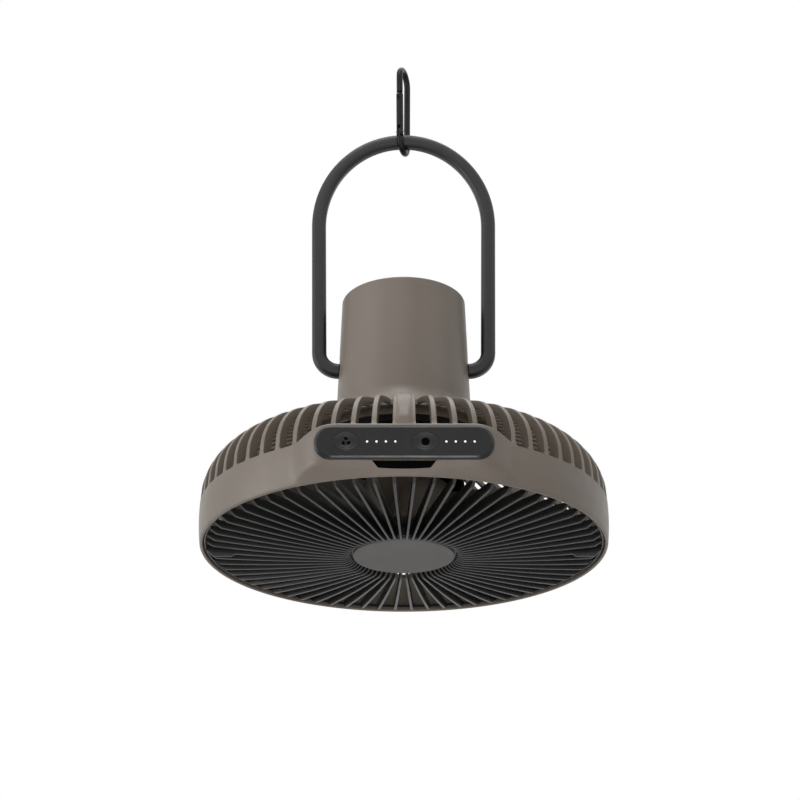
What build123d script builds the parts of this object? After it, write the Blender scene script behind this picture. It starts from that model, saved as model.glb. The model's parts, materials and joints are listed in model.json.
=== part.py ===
"""Portable camping fan: a round guarded fan head with a battery tower, a swinging bail and a carabiner.

The origin is the centre of the cap on the front grille. +Z runs along the fan's axis from the front grille to
the hanger, and the control panel faces -Y. Lengths are in millimetres.
"""

import os
from math import asin, atan, cos, degrees, hypot, radians, sin, sqrt, tan

from build123d import *

# ---- head casing
band_r = 130.1  # widest radius of the casing, part way up the rim band
band_wide_z = 20.0
lip_z = 4.2  # front edge of the casing
lip_r = band_r - 1.1
lip_inner_r = lip_r - 2.0
shoulder_r = band_r - 0.5  # where the band ends and the rounded shoulder starts
shoulder_z = 34.2
shoulder_run = 33.6  # radial half axis of the shoulder's ellipse
shoulder_rise = 32.4  # axial half axis of the shoulder's ellipse
shoulder_end = 65.0  # degrees of the ellipse at which the shoulder runs into the dome
collar_rise = 48.2  # from the foot of the shoulder to the back of the collar that carries the tower
fin_depth = 6.5
dome_depth = 4.0  # the fins get this thin where they cross the dome
collar_depth = 9.0
ledge_z = shoulder_z - 7.2  # the fins' inner edge starts on this ledge
slot_start_z = shoulder_z - 4.1
slot_count = 65
front_gap = 10.0  # degrees between the two slots beside the wide fin above the panel
slot_share = 0.745  # open part of each slot pitch
slot_corner = 1.4
bar_plate_width = 9.0  # raised strip on the wide fin above the panel
bar_plate_height = 0.8

# ---- control pod and panel
pod_y = band_r + 0.9  # distance of the pod's face from the axis
pod_width = 118.0
pod_wall = 8.0  # from the pod's face to the inside of the casing
pod_edge = 3.0
pod_depth = 40.0  # length of the block that the pod is cut from
panel_width = 104.0
panel_height = 21.4
panel_z = 24.0
panel_thick = 5.0
panel_proud = 1.4
panel_edge = 1.2
pod_low_z = lip_z + 1.2
pod_high_z = panel_z + panel_height / 2 + 1.9
key_width = 15.4
key_height = 11.4
key_travel = 0.6
key_thick = 2.4
speed_key_x = -33.4
mode_key_x = 12.2
light_r = 0.75
light_pitch = 5.4
light_count = 4
speed_lights_x = -13.2
mode_lights_x = 32.2
board_thick = 1.6
switch_height = 0.4
latch_top_width = 36.6
latch_foot_width = 29.6
latch_height = 4.6
latch_thick = 2.4
latch_sunk = 0.8
latch_travel = 1.5
latch_bow = 0.6  # the latch's lower edge bows out by this much
stem_width = 12.0
stem_height = 3.4

# ---- front grille
rib_count = 66
rib_tip_width = 1.9
rib_root_width = 1.3
cap_r = 32.3
cap_thick = 2.0
cap_spigot_r = 19.4
crown_r = cap_r + 7.7  # radius at which the ribs stand out furthest
crown_z = -1.6
dome_rise = 0.000368  # how far the ribs fall back, per millimetre of radius squared
rib_back_z = lip_z + 3.8
grille_gap = 0.4  # between the grille's ring and the casing's lip
ring_width = 1.6
ring_front_z = lip_z + 1.8
ring_back_z = lip_z + 3.8
rim_chamfer = 4.4  # radial length of the slope at the ribs' outer ends
grip_length = 13.5
grip_height = 2.7

# ---- impeller and motor
impeller_gap = 11.5  # from the middle of each blade tip to the inside of the fins
impeller_hub_r = 30.0
impeller_hub_low_z = 16.0
impeller_hub_high_z = 46.0
impeller_wall = 2.6
blade_count = 5
blade_thick = 2.0
blade_z = 31.5
blade_root_chord = 34.0
blade_tip_chord = 58.0
blade_root_pitch = 48.0
blade_tip_pitch = 24.0
blade_camber = 3.0
shaft_r = 2.5
shaft_low_z = 11.6
bearing_r = 8.0
bearing_width = 5.0
bearing_tube_wall = 1.8
mount_thick = 4.2
skirt_r = 39.0  # black cylinder that hides the motor from the side
skirt_wall = 2.0
skirt_low_z = 48.0
can_r = 23.8
can_wall = 2.0
can_low_z = 26.4
can_high_z = 50.0
boss_height = 4.0
magnet_thick = 2.4
magnet_count = 14
air_gap = 0.9
stator_low_z = 36.0
stator_high_z = 48.0
tooth_count = 12
tooth_width = 1.8
coil_width = 4.2
coil_over = 1.2  # the coils stand out of the core by this much at both ends

# ---- tower
tower_base_r = 43.9  # at the top of the flare
tower_taper = 2.7  # the radius lost from the top of the flare to the tower's end
flare_rise = 19.6  # height of the flare above the collar
flare_radius = 20.0
tower_length = 96.8
tower_wall = 2.6
tower_edge = 1.2
end_cap_thick = 2.6
cell_r = 9.2
cell_length = 65.0
cell_pitch = 20.0
cell_top_room = 14.7  # from the cells to the end of the tower
holder_thick = 5.0
holder_lap = 2.0
port_width = 9.4
port_height = 3.6
flap_width = 17.0
flap_height = 11.0
flap_thick = 1.2

# ---- bail
pivot_height = 47.4  # above the collar
bail_width = 9.6  # across the rod, in the plane of the arch
bail_depth = 8.6
bail_round = 3.2
bail_stub = 0.5  # straight part between each pivot and its corner
bail_splay = 1.15  # each leg leans out towards the arch, degrees
arch_half = 58.1
arch_rise = 66.9
arch_height = 110.5  # centre of the arch above the pivots
spot_r = 9.5  # flat seat around each pivot
spot_sink = 1.2
pin_r = 4.0
bush_length = 5.0
bush_wall = 1.1
washer_thick = 0.5

# ---- carabiner
wire_r = 2.2
hook_high_r = 8.8  # centre-line radius of the upper bend
hook_length = 50.0  # between the centres of the two bends
hook_turn = 18.0  # the carabiner hangs slightly turned, degrees
gate_r = 2.45
gate_low = 1.4  # heights on the carabiner, above the centre of its lower bend
gate_pin = 4.4
gate_high = 34.8
gate_slot = 2.0
tongue_thick = 1.5
pin_thin_r = 0.8

# ---- fits
seat_gap = 0.1  # pieces that are screwed or glued down in a pocket
run_gap = 0.3  # pieces of different bodies that pass each other
shaft_gap = 0.03  # radial play of a shaft in its bearing
glue_gap = 0.04  # pieces that are glued or pressed together
screw_r = 1.5
screw_head_r = 2.8
screw_head = 1.8
boss_wall = 2.2


# ---- derived places
shoulder_x = shoulder_r - shoulder_run
inside_r = shoulder_r - fin_depth
back_z = shoulder_z + collar_rise
ring_under_z = back_z - collar_depth
dome_under_z = back_z - dome_depth
slot_pitch = (360 - front_gap) / (slot_count - 1)

panel_face_y = pod_y + panel_proud
board_y = panel_face_y - panel_thick
latch_face_y = pod_y - latch_sunk
latch_top_z = panel_z - panel_height / 2 - 0.4
latch_foot_z = latch_top_z - latch_height
stem_z = latch_top_z - 0.5 - stem_height / 2

ring_r = lip_inner_r - grille_gap
dome_apex_z = crown_z - dome_rise * crown_r**2
dome_outer_r = ring_r - ring_width - rim_chamfer + 0.1
hub_r = cap_r + 1.7
rib_start_r = cap_r + 0.7

impeller_r = inside_r - impeller_gap
tube_r = bearing_r + bearing_tube_wall
tube_low_z = can_low_z + can_wall + 2.0
stator_r = can_r - can_wall - magnet_thick - air_gap

tower_z = back_z + flare_rise
tower_top_z = back_z + tower_length
tower_top_r = tower_base_r - tower_taper
tower_slope = tower_taper / (tower_top_z - tower_z)
flare_x = tower_base_r + flare_radius
flare_foot_r = flare_x - sqrt(flare_radius**2 - flare_rise**2)
collar_outer_r = flare_foot_r + 0.1
collar_inner_r = tower_base_r - 14.0
slot_end_r = collar_outer_r + 6.0
mount_r = collar_outer_r - 1.0
ring_screw_r = tower_base_r + 0.6
end_screw_r = tower_top_r - tower_wall - 3.4
cell_high_z = tower_top_z - cell_top_room
cell_low_z = cell_high_z - cell_length
port_z = cell_high_z - 13.5
end_seat_z = tower_top_z - end_cap_thick - 0.6

pivot_z = back_z + pivot_height
arch_z = pivot_z + arch_height
arch_top_z = arch_z + arch_rise


def tower_r(z):
    """Outer radius of the tower above its flare."""
    return tower_base_r - tower_slope * (z - tower_z)


def shell_inner_r(z):
    """Inner radius of the tower shell, in its flare too."""
    drop = max(tower_z - z, 0)
    if drop > 0:
        return flare_x - sqrt((flare_radius + tower_wall) ** 2 - drop**2)
    return tower_r(z) - tower_wall


def dome_z(radius):
    """Front edge of the grille's ribs at a radius."""
    return dome_apex_z + dome_rise * radius**2


def save(part, label):
    """Write one piece of the fan."""
    part.label = label
    export_step(part, f"parts/{label}.step")


spot_x = tower_r(pivot_z) - spot_sink
pin_inner_x = spot_x - bush_length - run_gap
stub_x = spot_x + washer_thick + run_gap
flap_sink_y = tower_r(port_z) - 1.5


os.makedirs("parts", exist_ok=True)


# ======== rear guard: band, fins, collar and control pod in one moulding
slot_half = radians(slot_pitch * slot_share / 2)
slot_far = band_r + 10

with BuildPart() as slot_cutter:
    with BuildSketch(Plane.XY.offset(slot_start_z)):
        Polygon(
            (slot_end_r * cos(slot_half), -slot_end_r * sin(slot_half)),
            (slot_far * cos(slot_half), -slot_far * sin(slot_half)),
            (slot_far * cos(slot_half), slot_far * sin(slot_half)),
            (slot_end_r * cos(slot_half), slot_end_r * sin(slot_half)),
            align=None,
        )
    extrude(amount=back_z - slot_start_z + 5)
    low_edges = slot_cutter.faces().sort_by(Axis.Z)[0].edges().filter_by(Axis.X, tolerance=5)
    fillet(low_edges, slot_corner)

with BuildPart() as pod:
    with BuildSketch(Plane.XZ.offset(pod_y)):
        with Locations((0, (pod_low_z + pod_high_z) / 2)):
            SlotOverall(pod_width, pod_high_z - pod_low_z)
    extrude(amount=-pod_depth)
    fillet(pod.faces().sort_by(Axis.Y)[0].edges(), pod_edge)
    Cylinder(pod_y - pod_wall, 4 * pod_high_z, mode=Mode.SUBTRACT)
    # the front grille's ring sits below this part of the pod
    with BuildSketch(Plane.XY.offset(ring_back_z + grille_gap)):
        Circle(lip_inner_r)
    extrude(amount=-4 * ring_back_z, mode=Mode.SUBTRACT)

with BuildPart() as bar_plate:
    with BuildSketch(Plane.XZ):
        with BuildLine():
            plate_face = EllipticalCenterArc(
                (shoulder_x, shoulder_z),
                shoulder_run + bar_plate_height,
                shoulder_rise + bar_plate_height,
                0,
                arc_size=shoulder_end,
            )
            plate_back = EllipticalCenterArc(
                (shoulder_x, shoulder_z), shoulder_run - 1, shoulder_rise - 1, 0, arc_size=shoulder_end
            )
            Line(plate_face @ 0, plate_back @ 0)
            plate_end = (slot_end_r, back_z - 1.4)
            TangentArc(plate_face @ 1, plate_end, tangent=plate_face % 1)
            Line(plate_end, (slot_end_r, back_z - dome_depth))
            Line((slot_end_r, back_z - dome_depth), plate_back @ 1)
        make_face()
    revolve(axis=Axis.Z)
    with Locations((0, -band_r, back_z)):
        Box(bar_plate_width, 2 * band_r - 10, 4 * shoulder_rise, mode=Mode.INTERSECT)

with BuildPart() as rear_guard:
    with BuildSketch(Plane.XZ):
        with BuildLine():
            Line((lip_inner_r, lip_z), (lip_r, lip_z))
            ThreePointArc((lip_r, lip_z), (band_r, band_wide_z), (shoulder_r, shoulder_z))
            outer_line = EllipticalCenterArc(
                (shoulder_x, shoulder_z), shoulder_run, shoulder_rise, 0, arc_size=shoulder_end
            )
            TangentArc(outer_line @ 1, (collar_outer_r, back_z), tangent=outer_line % 1)
            Polyline(
                (collar_outer_r, back_z),
                (collar_inner_r, back_z),
                (collar_inner_r, ring_under_z),
                (collar_outer_r, ring_under_z),
                (collar_outer_r, dome_under_z),
            )
            inner_line = EllipticalCenterArc(
                (shoulder_x, shoulder_z),
                shoulder_run - fin_depth,
                shoulder_rise - dome_depth,
                0,
                arc_size=shoulder_end,
            )
            TangentArc(inner_line @ 1, (collar_outer_r, dome_under_z), tangent=inner_line % 1)
            Line((inside_r, shoulder_z), (inside_r, ledge_z))
            Line((inside_r, ledge_z), (lip_inner_r, ledge_z))
            Line((lip_inner_r, ledge_z), (lip_inner_r, lip_z))
        make_face()
    revolve(axis=Axis.Z)
    # every slot but the one behind the wide fin above the panel
    slot_range = slot_count * slot_pitch
    with PolarLocations(0, slot_count, start_angle=-90 + front_gap / 2, angular_range=slot_range):
        add(slot_cutter.part, mode=Mode.SUBTRACT)
    add(bar_plate.part)
    add(pod.part)
    # pocket for the panel and the board behind it
    with BuildSketch(Plane.XZ.offset(pod_y)):
        with Locations((0, panel_z)):
            SlotOverall(panel_width + 2 * seat_gap, panel_height + 2 * seat_gap)
    extrude(amount=-(pod_y - board_y + board_thick + seat_gap), mode=Mode.SUBTRACT)
    # pocket for the latch's plate, and the hole of its stem
    with BuildSketch(Plane.XZ.offset(pod_y)):
        with BuildLine():
            window_foot = (latch_foot_width / 2 + run_gap, latch_foot_z + latch_bow - run_gap)
            window_top = (latch_top_width / 2 + 1.5 * run_gap, latch_top_z + run_gap)
            Polyline(
                window_foot, window_top, (-window_top[0], window_top[1]), (-window_foot[0], window_foot[1])
            )
            ThreePointArc((-window_foot[0], window_foot[1]), (0, latch_foot_z - run_gap), window_foot)
        make_face()
    extrude(amount=-(latch_sunk + latch_thick + latch_travel + run_gap), mode=Mode.SUBTRACT)
    with BuildSketch(Plane.XZ.offset(pod_y)):
        with Locations((0, stem_z)):
            Rectangle(stem_width + 2 * run_gap, stem_height + 2 * run_gap)
    extrude(amount=-2 * pod_wall, mode=Mode.SUBTRACT)
    # screw holes that hold the tower and the motor mount to the collar
    with Locations((0, 0, back_z)):
        with PolarLocations(ring_screw_r, 4, start_angle=45):
            Cylinder(screw_r + seat_gap, 3 * collar_depth, mode=Mode.SUBTRACT)
save(rear_guard.part, "rear_guard")


# ======== control panel, its keys, lights and board
with BuildPart() as panel_key:
    with BuildSketch(Plane.XZ.offset(panel_face_y)):
        Ellipse(key_width / 2, key_height / 2)
    extrude(amount=-key_thick)
    chamfer(panel_key.faces().sort_by(Axis.Y)[0].edges(), 0.3)

light_spots = []
for row_x in (speed_lights_x, mode_lights_x):
    for index in range(light_count):
        light_spots.append((row_x + (index - (light_count - 1) / 2) * light_pitch, panel_z))

with BuildPart() as control_panel:
    with BuildSketch(Plane.XZ.offset(panel_face_y)):
        with Locations((0, panel_z)):
            SlotOverall(panel_width, panel_height)
    extrude(amount=-panel_thick)
    fillet(control_panel.faces().sort_by(Axis.Y)[0].edges(), panel_edge)
    with BuildSketch(Plane.XZ.offset(panel_face_y)):
        with Locations((speed_key_x, panel_z), (mode_key_x, panel_z)):
            Ellipse(key_width / 2 + run_gap, key_height / 2 + run_gap)
    extrude(amount=-panel_thick, mode=Mode.SUBTRACT)
    with BuildSketch(Plane.XZ.offset(panel_face_y)):
        with Locations(*light_spots):
            Circle(light_r + seat_gap / 2)
    extrude(amount=-panel_thick, mode=Mode.SUBTRACT)
save(control_panel.part, "control_panel")

for key_name, key_x in (("speed_key", speed_key_x), ("mode_key", mode_key_x)):
    with BuildPart() as key:
        with Locations((key_x, 0, panel_z)):
            add(panel_key.part)
        # plunger that reaches for the switch
        with BuildSketch(Plane.XZ.offset(panel_face_y - key_thick)):
            with Locations((key_x, panel_z)):
                Circle(2.0)
        extrude(amount=-(panel_thick - key_thick - key_travel - run_gap - switch_height))
    save(key.part, key_name)

with BuildPart() as indicator_lights:
    with BuildSketch(Plane.XZ.offset(panel_face_y - 0.1)):
        with Locations(*light_spots):
            Circle(light_r)
    extrude(amount=-(panel_thick - 0.1))
save(indicator_lights.part, "indicator_lights")

with BuildPart() as panel_board:
    with BuildSketch(Plane.XZ.offset(board_y)):
        with Locations((0, panel_z)):
            SlotOverall(panel_width - 4, panel_height - 3)
    extrude(amount=-board_thick)
    # two dome switches under the keys
    with BuildSketch(Plane.XZ.offset(board_y)):
        with Locations((speed_key_x, panel_z), (mode_key_x, panel_z)):
            Circle(2.6)
    extrude(amount=switch_height)
save(panel_board.part, "panel_board")

with BuildPart() as grille_latch:
    with BuildSketch(Plane.XZ.offset(latch_face_y)):
        with BuildLine():
            Polyline(
                (latch_foot_width / 2, latch_foot_z + latch_bow),
                (latch_top_width / 2, latch_top_z),
                (-latch_top_width / 2, latch_top_z),
                (-latch_foot_width / 2, latch_foot_z + latch_bow),
            )
            ThreePointArc(
                (-latch_foot_width / 2, latch_foot_z + latch_bow),
                (0, latch_foot_z),
                (latch_foot_width / 2, latch_foot_z + latch_bow),
            )
        make_face()
    extrude(amount=-latch_thick)
    # stem that reaches over the grille's ring
    with BuildSketch(Plane.XZ.offset(latch_face_y - latch_thick)):
        with Locations((0, stem_z)):
            Rectangle(stem_width, stem_height)
    extrude(amount=-(latch_face_y - latch_thick - (pod_y - pod_wall) + 1))
save(grille_latch.part, "grille_latch")


# ======== front grille and its cap
chamfer_end_r = ring_r - ring_width + 0.4
chamfer_end_z = ring_front_z + 0.6

with BuildPart() as grille_rib:
    with BuildSketch(Plane.XZ):
        with BuildLine():
            Line((rib_start_r, rib_back_z), (rib_start_r, cap_thick))
            Spline(
                (rib_start_r, cap_thick),
                (crown_r, crown_z),
                tangents=((0.45, -1), (1, 2 * dome_rise * crown_r)),
            )
            mid_r = (crown_r + dome_outer_r) / 2
            ThreePointArc((crown_r, crown_z), (mid_r, dome_z(mid_r)), (dome_outer_r, dome_z(dome_outer_r)))
            Line((dome_outer_r, dome_z(dome_outer_r)), (chamfer_end_r, chamfer_end_z))
            Line((chamfer_end_r, chamfer_end_z), (chamfer_end_r, rib_back_z))
            Line((chamfer_end_r, rib_back_z), (rib_start_r, rib_back_z))
        make_face()
    extrude(amount=rib_tip_width, both=True)
    with BuildSketch(Plane.XY.offset(crown_z - 1)):
        Polygon(
            (rib_start_r, -rib_root_width / 2),
            (ring_r, -rib_tip_width / 2),
            (ring_r, rib_tip_width / 2),
            (rib_start_r, rib_root_width / 2),
            align=None,
        )
    extrude(amount=rib_back_z - crown_z + 2, mode=Mode.INTERSECT)

with BuildPart() as grip_tab:
    grip_start_r = dome_outer_r - grip_length
    grip_z = dome_z(dome_outer_r) - grip_height
    with BuildSketch(Plane.XZ):
        with BuildLine():
            Polyline(
                (grip_start_r, dome_z(grip_start_r) + 1),
                (grip_start_r, dome_z(grip_start_r)),
                (grip_start_r + 1.6, grip_z),
                (dome_outer_r, grip_z),
                (chamfer_end_r, chamfer_end_z - 1.5),
                (chamfer_end_r, rib_back_z),
                close=True,
            )
        make_face()
    extrude(amount=rib_tip_width / 2, both=True)

with BuildPart() as front_grille:
    with BuildSketch(Plane.XY.offset(cap_thick)):
        Circle(hub_r)
    extrude(amount=rib_back_z - cap_thick)
    with BuildSketch(Plane.XY.offset(ring_front_z)):
        Circle(ring_r)
        Circle(ring_r - ring_width, mode=Mode.SUBTRACT)
    extrude(amount=ring_back_z - ring_front_z)
    with PolarLocations(0, rib_count):
        add(grille_rib.part)
    # the two ribs on the cross axis carry a grip at their outer end
    with PolarLocations(0, 2):
        add(grip_tab.part)
    # pocket for the cap's spigot
    with BuildSketch(Plane.XY.offset(cap_thick)):
        Circle(cap_spigot_r + seat_gap)
    extrude(amount=1.6, mode=Mode.SUBTRACT)
save(front_grille.part, "front_grille")

with BuildPart() as grille_cap:
    with BuildSketch(Plane.XY):
        Circle(cap_r)
    extrude(amount=cap_thick)
    fillet(grille_cap.faces().sort_by(Axis.Z)[0].edges(), 0.8)
    with BuildSketch(Plane.XY.offset(cap_thick)):
        Circle(cap_spigot_r)
    extrude(amount=1.5)
save(grille_cap.part, "grille_cap")


# ======== impeller with its nut and shaft
with BuildPart() as impeller:
    with BuildSketch(Plane.XY.offset(impeller_hub_low_z)):
        Circle(impeller_hub_r)
    extrude(amount=impeller_hub_high_z - impeller_hub_low_z)
    fillet(impeller.faces().sort_by(Axis.Z)[0].edges(), 4)
    for blade in range(blade_count):
        angle = radians(360 / blade_count * blade - 90)
        out = (cos(angle), sin(angle), 0)
        sections = []
        for reach, chord, pitch in (
            (impeller_hub_r - impeller_wall / 2, blade_root_chord, radians(blade_root_pitch)),
            (impeller_r, blade_tip_chord, radians(blade_tip_pitch)),
        ):
            along = (-sin(angle) * cos(pitch), cos(angle) * cos(pitch), sin(pitch))
            spot = (reach * cos(angle), reach * sin(angle), blade_z)
            with BuildSketch(Plane(origin=spot, x_dir=along, z_dir=out)) as section:
                with BuildLine():
                    ThreePointArc((-chord / 2, 0), (0, blade_camber), (chord / 2, 0))
                    Line((chord / 2, 0), (chord / 2, blade_thick))
                    ThreePointArc(
                        (chord / 2, blade_thick), (0, blade_camber + blade_thick), (-chord / 2, blade_thick)
                    )
                    Line((-chord / 2, blade_thick), (-chord / 2, 0))
                make_face()
            sections.append(section.sketch)
        loft(sections, ruled=True)
    # room for the rotor can and its boss
    with BuildSketch(Plane.XY.offset(can_low_z - boss_height)):
        Circle(impeller_hub_r - impeller_wall)
    extrude(amount=impeller_hub_high_z, mode=Mode.SUBTRACT)
    with BuildSketch(Plane.XY.offset(impeller_hub_low_z)):
        Circle(shaft_r + shaft_gap)
    extrude(amount=impeller_hub_high_z - impeller_hub_low_z, mode=Mode.SUBTRACT)
save(impeller.part, "impeller")

with BuildPart() as impeller_nut:
    with BuildSketch(Plane.XY.offset(impeller_hub_low_z)):
        RegularPolygon(shaft_r + 2.1, 6)
        Circle(shaft_r + shaft_gap, mode=Mode.SUBTRACT)
    extrude(amount=-3.6)
save(impeller_nut.part, "impeller_nut")

with BuildPart() as motor_shaft:
    with BuildSketch(Plane.XY.offset(shaft_low_z)):
        Circle(shaft_r)
    extrude(amount=ring_under_z - 1.0 - shaft_low_z)
    chamfer(motor_shaft.edges().filter_by(GeomType.CIRCLE), 0.4)
save(motor_shaft.part, "motor_shaft")


# ======== motor: can and magnets turn, stator and mount stand still
with BuildPart() as rotor_can:
    with BuildSketch(Plane.XY.offset(can_low_z)):
        Circle(can_r)
    extrude(amount=can_high_z - can_low_z)
    with BuildSketch(Plane.XY.offset(can_low_z + can_wall)):
        Circle(can_r - can_wall)
    extrude(amount=can_high_z, mode=Mode.SUBTRACT)
    # boss that clamps the impeller against the nut
    with BuildSketch(Plane.XY.offset(can_low_z)):
        Circle(shaft_r + 4)
    extrude(amount=-boss_height)
    with BuildSketch(Plane.XY.offset(can_low_z - boss_height)):
        Circle(shaft_r + shaft_gap)
    extrude(amount=2 * boss_height, mode=Mode.SUBTRACT)
save(rotor_can.part, "rotor_can")

magnet_outer_r = can_r - can_wall - seat_gap
magnet_inner_r = can_r - can_wall - magnet_thick
magnet_half = radians(180 / magnet_count - 1.5)
with BuildSketch() as magnet_section:
    with BuildLine():
        outer_low = (magnet_outer_r * cos(magnet_half), -magnet_outer_r * sin(magnet_half))
        outer_high = (magnet_outer_r * cos(magnet_half), magnet_outer_r * sin(magnet_half))
        inner_low = (magnet_inner_r * cos(magnet_half), -magnet_inner_r * sin(magnet_half))
        inner_high = (magnet_inner_r * cos(magnet_half), magnet_inner_r * sin(magnet_half))
        Line(inner_low, outer_low)
        ThreePointArc(outer_low, (magnet_outer_r, 0), outer_high)
        Line(outer_high, inner_high)
        ThreePointArc(inner_high, (magnet_inner_r, 0), inner_low)
    make_face()

with BuildPart() as magnets:
    with BuildSketch(Plane.XY.offset(stator_low_z - 1)):
        with PolarLocations(0, magnet_count):
            add(magnet_section.sketch)
    extrude(amount=stator_high_z - stator_low_z + 2)
save(magnets.part, "magnets")

bearing_high_z = ring_under_z - bearing_width - 1.4
with BuildPart() as motor_mount:
    with BuildSketch(Plane.XY.offset(ring_under_z)):
        Circle(mount_r)
    extrude(amount=-mount_thick)
    with BuildSketch(Plane.XY.offset(ring_under_z)):
        Circle(tube_r)
    extrude(amount=tube_low_z - ring_under_z)
    with BuildSketch(Plane.XY.offset(skirt_low_z)):
        Circle(skirt_r)
        Circle(skirt_r - skirt_wall, mode=Mode.SUBTRACT)
    extrude(amount=ring_under_z - mount_thick - skirt_low_z)
    with BuildSketch(Plane.XY.offset(ring_under_z)):
        Circle(bearing_r)
    extrude(amount=tube_low_z - ring_under_z, mode=Mode.SUBTRACT)
    # shoulder between the two bearings
    with BuildSketch(Plane.XY.offset(tube_low_z + bearing_width)):
        Circle(bearing_r)
        Circle(bearing_r - 1.6, mode=Mode.SUBTRACT)
    extrude(amount=bearing_high_z - tube_low_z - bearing_width)
    with Locations((0, 0, ring_under_z)):
        with PolarLocations(ring_screw_r, 4, start_angle=45):
            Cylinder(screw_r + seat_gap, 3 * mount_thick, mode=Mode.SUBTRACT)
save(motor_mount.part, "motor_mount")

with BuildPart() as bearings:
    for bearing_z in (tube_low_z, bearing_high_z):
        with BuildSketch(Plane.XY.offset(bearing_z)):
            Circle(bearing_r - shaft_gap)
            Circle(shaft_r + shaft_gap, mode=Mode.SUBTRACT)
        extrude(amount=bearing_width)
save(bearings.part, "bearings")

core_inner_r = tube_r + glue_gap
with BuildPart() as stator_core:
    with BuildSketch(Plane.XY.offset(stator_low_z)):
        Circle(core_inner_r + 2.6)
        with PolarLocations((core_inner_r + stator_r) / 2, tooth_count):
            Rectangle(stator_r - core_inner_r - 1, tooth_width)
        with PolarLocations(stator_r - 0.8, tooth_count):
            Rectangle(1.4, 7.0)
        Circle(stator_r, mode=Mode.INTERSECT)
        Circle(core_inner_r, mode=Mode.SUBTRACT)
    extrude(amount=stator_high_z - stator_low_z)
save(stator_core.part, "stator_core")

coil_in_r = core_inner_r + 2.9
coil_out_r = stator_r - 1.8
with BuildPart() as stator_coils:
    with BuildSketch(Plane.XY.offset(stator_low_z - coil_over)):
        with PolarLocations((coil_in_r + coil_out_r) / 2, tooth_count):
            Rectangle(coil_out_r - coil_in_r, coil_width)
    extrude(amount=stator_high_z - stator_low_z + 2 * coil_over)
    with BuildSketch(Plane.XY.offset(stator_low_z - glue_gap)):
        with PolarLocations((coil_in_r + coil_out_r) / 2, tooth_count):
            Rectangle(2 * (coil_out_r - coil_in_r), tooth_width + 2 * glue_gap)
    extrude(amount=stator_high_z - stator_low_z + 2 * glue_gap, mode=Mode.SUBTRACT)
save(stator_coils.part, "stator_coils")


# ======== tower shell with its flared foot
with BuildPart() as tower_shell:
    with BuildSketch(Plane.XZ):
        with BuildLine():
            inner_flare = flare_radius + tower_wall
            foot_inner_r = flare_x - sqrt(inner_flare**2 - (flare_rise - tower_wall) ** 2)
            mouth_r = tower_top_r - tower_wall
            seat_r = mouth_r - 1.5
            low_r = tower_r(end_seat_z - 3.5) - tower_wall
            mid = radians(40)
            Line((foot_inner_r, back_z), (flare_foot_r, back_z))
            ThreePointArc(
                (flare_foot_r, back_z),
                (flare_x - flare_radius * cos(mid), tower_z - flare_radius * sin(mid)),
                (tower_base_r, tower_z),
            )
            Line((tower_base_r, tower_z), (tower_top_r, tower_top_z))
            Polyline(
                (tower_top_r, tower_top_z),
                (mouth_r, tower_top_z),
                (mouth_r, end_seat_z),
                (seat_r, end_seat_z),
                (seat_r, end_seat_z - 2),
                (low_r, end_seat_z - 3.5),
                (tower_base_r - tower_wall, tower_z),
            )
            ThreePointArc(
                (tower_base_r - tower_wall, tower_z),
                (flare_x - inner_flare * cos(mid), tower_z - inner_flare * sin(mid)),
                (foot_inner_r, back_z + tower_wall),
            )
            Line((foot_inner_r, back_z + tower_wall), (foot_inner_r, back_z))
        make_face()
    revolve(axis=Axis.Z)
    rim_edges = tower_shell.edges().filter_by(GeomType.CIRCLE).group_by(Axis.Z)[-1]
    fillet(rim_edges.sort_by(SortBy.RADIUS)[-1], tower_edge)
    # screw bosses over the collar, run into the flare's wall
    with BuildSketch(Plane.XY.offset(back_z)):
        with PolarLocations(ring_screw_r, 4, start_angle=45):
            Circle(screw_r + boss_wall)
    extrude(amount=7.0)
    with BuildSketch(Plane.XY.offset(back_z)):
        with PolarLocations(ring_screw_r, 4, start_angle=45):
            Circle(screw_r)
    extrude(amount=5.5, mode=Mode.SUBTRACT)
    # pivot seats: a boss inside, a flat outside and the hole of the bush
    for side in (-1, 1):
        seat_plane = Plane(origin=(side * spot_x, 0, pivot_z), x_dir=(0, 1, 0), z_dir=(side, 0, 0))
        with BuildSketch(seat_plane):
            Circle(spot_r)
        extrude(amount=-bush_length)
        with BuildSketch(seat_plane):
            Circle(spot_r)
        extrude(amount=10, mode=Mode.SUBTRACT)
        with BuildSketch(seat_plane):
            Circle(pin_r + bush_wall + glue_gap)
        extrude(amount=-2 * bush_length, mode=Mode.SUBTRACT)
    # charging port behind, with a shallow seat for its cover
    with BuildSketch(Plane.XZ.offset(-flap_sink_y)):
        with Locations((0, port_z)):
            RectangleRounded(flap_width + 2 * run_gap, flap_height + 2 * run_gap, 3)
    extrude(amount=-10, mode=Mode.SUBTRACT)
    with BuildSketch(Plane.XZ.offset(-flap_sink_y)):
        with Locations((0, port_z)):
            RectangleRounded(port_width, port_height, port_height / 2 - 0.05)
    extrude(amount=10, mode=Mode.SUBTRACT)
    # screw posts of the end cap
    with BuildSketch(Plane.XY.offset(end_seat_z)):
        with PolarLocations(end_screw_r, 3, start_angle=90):
            Circle(screw_r + 1.7)
    extrude(amount=-8)
    with BuildSketch(Plane.XY.offset(end_seat_z)):
        with PolarLocations(end_screw_r, 3, start_angle=90):
            Circle(screw_r)
    extrude(amount=-6, mode=Mode.SUBTRACT)
save(tower_shell.part, "tower_shell")

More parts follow.
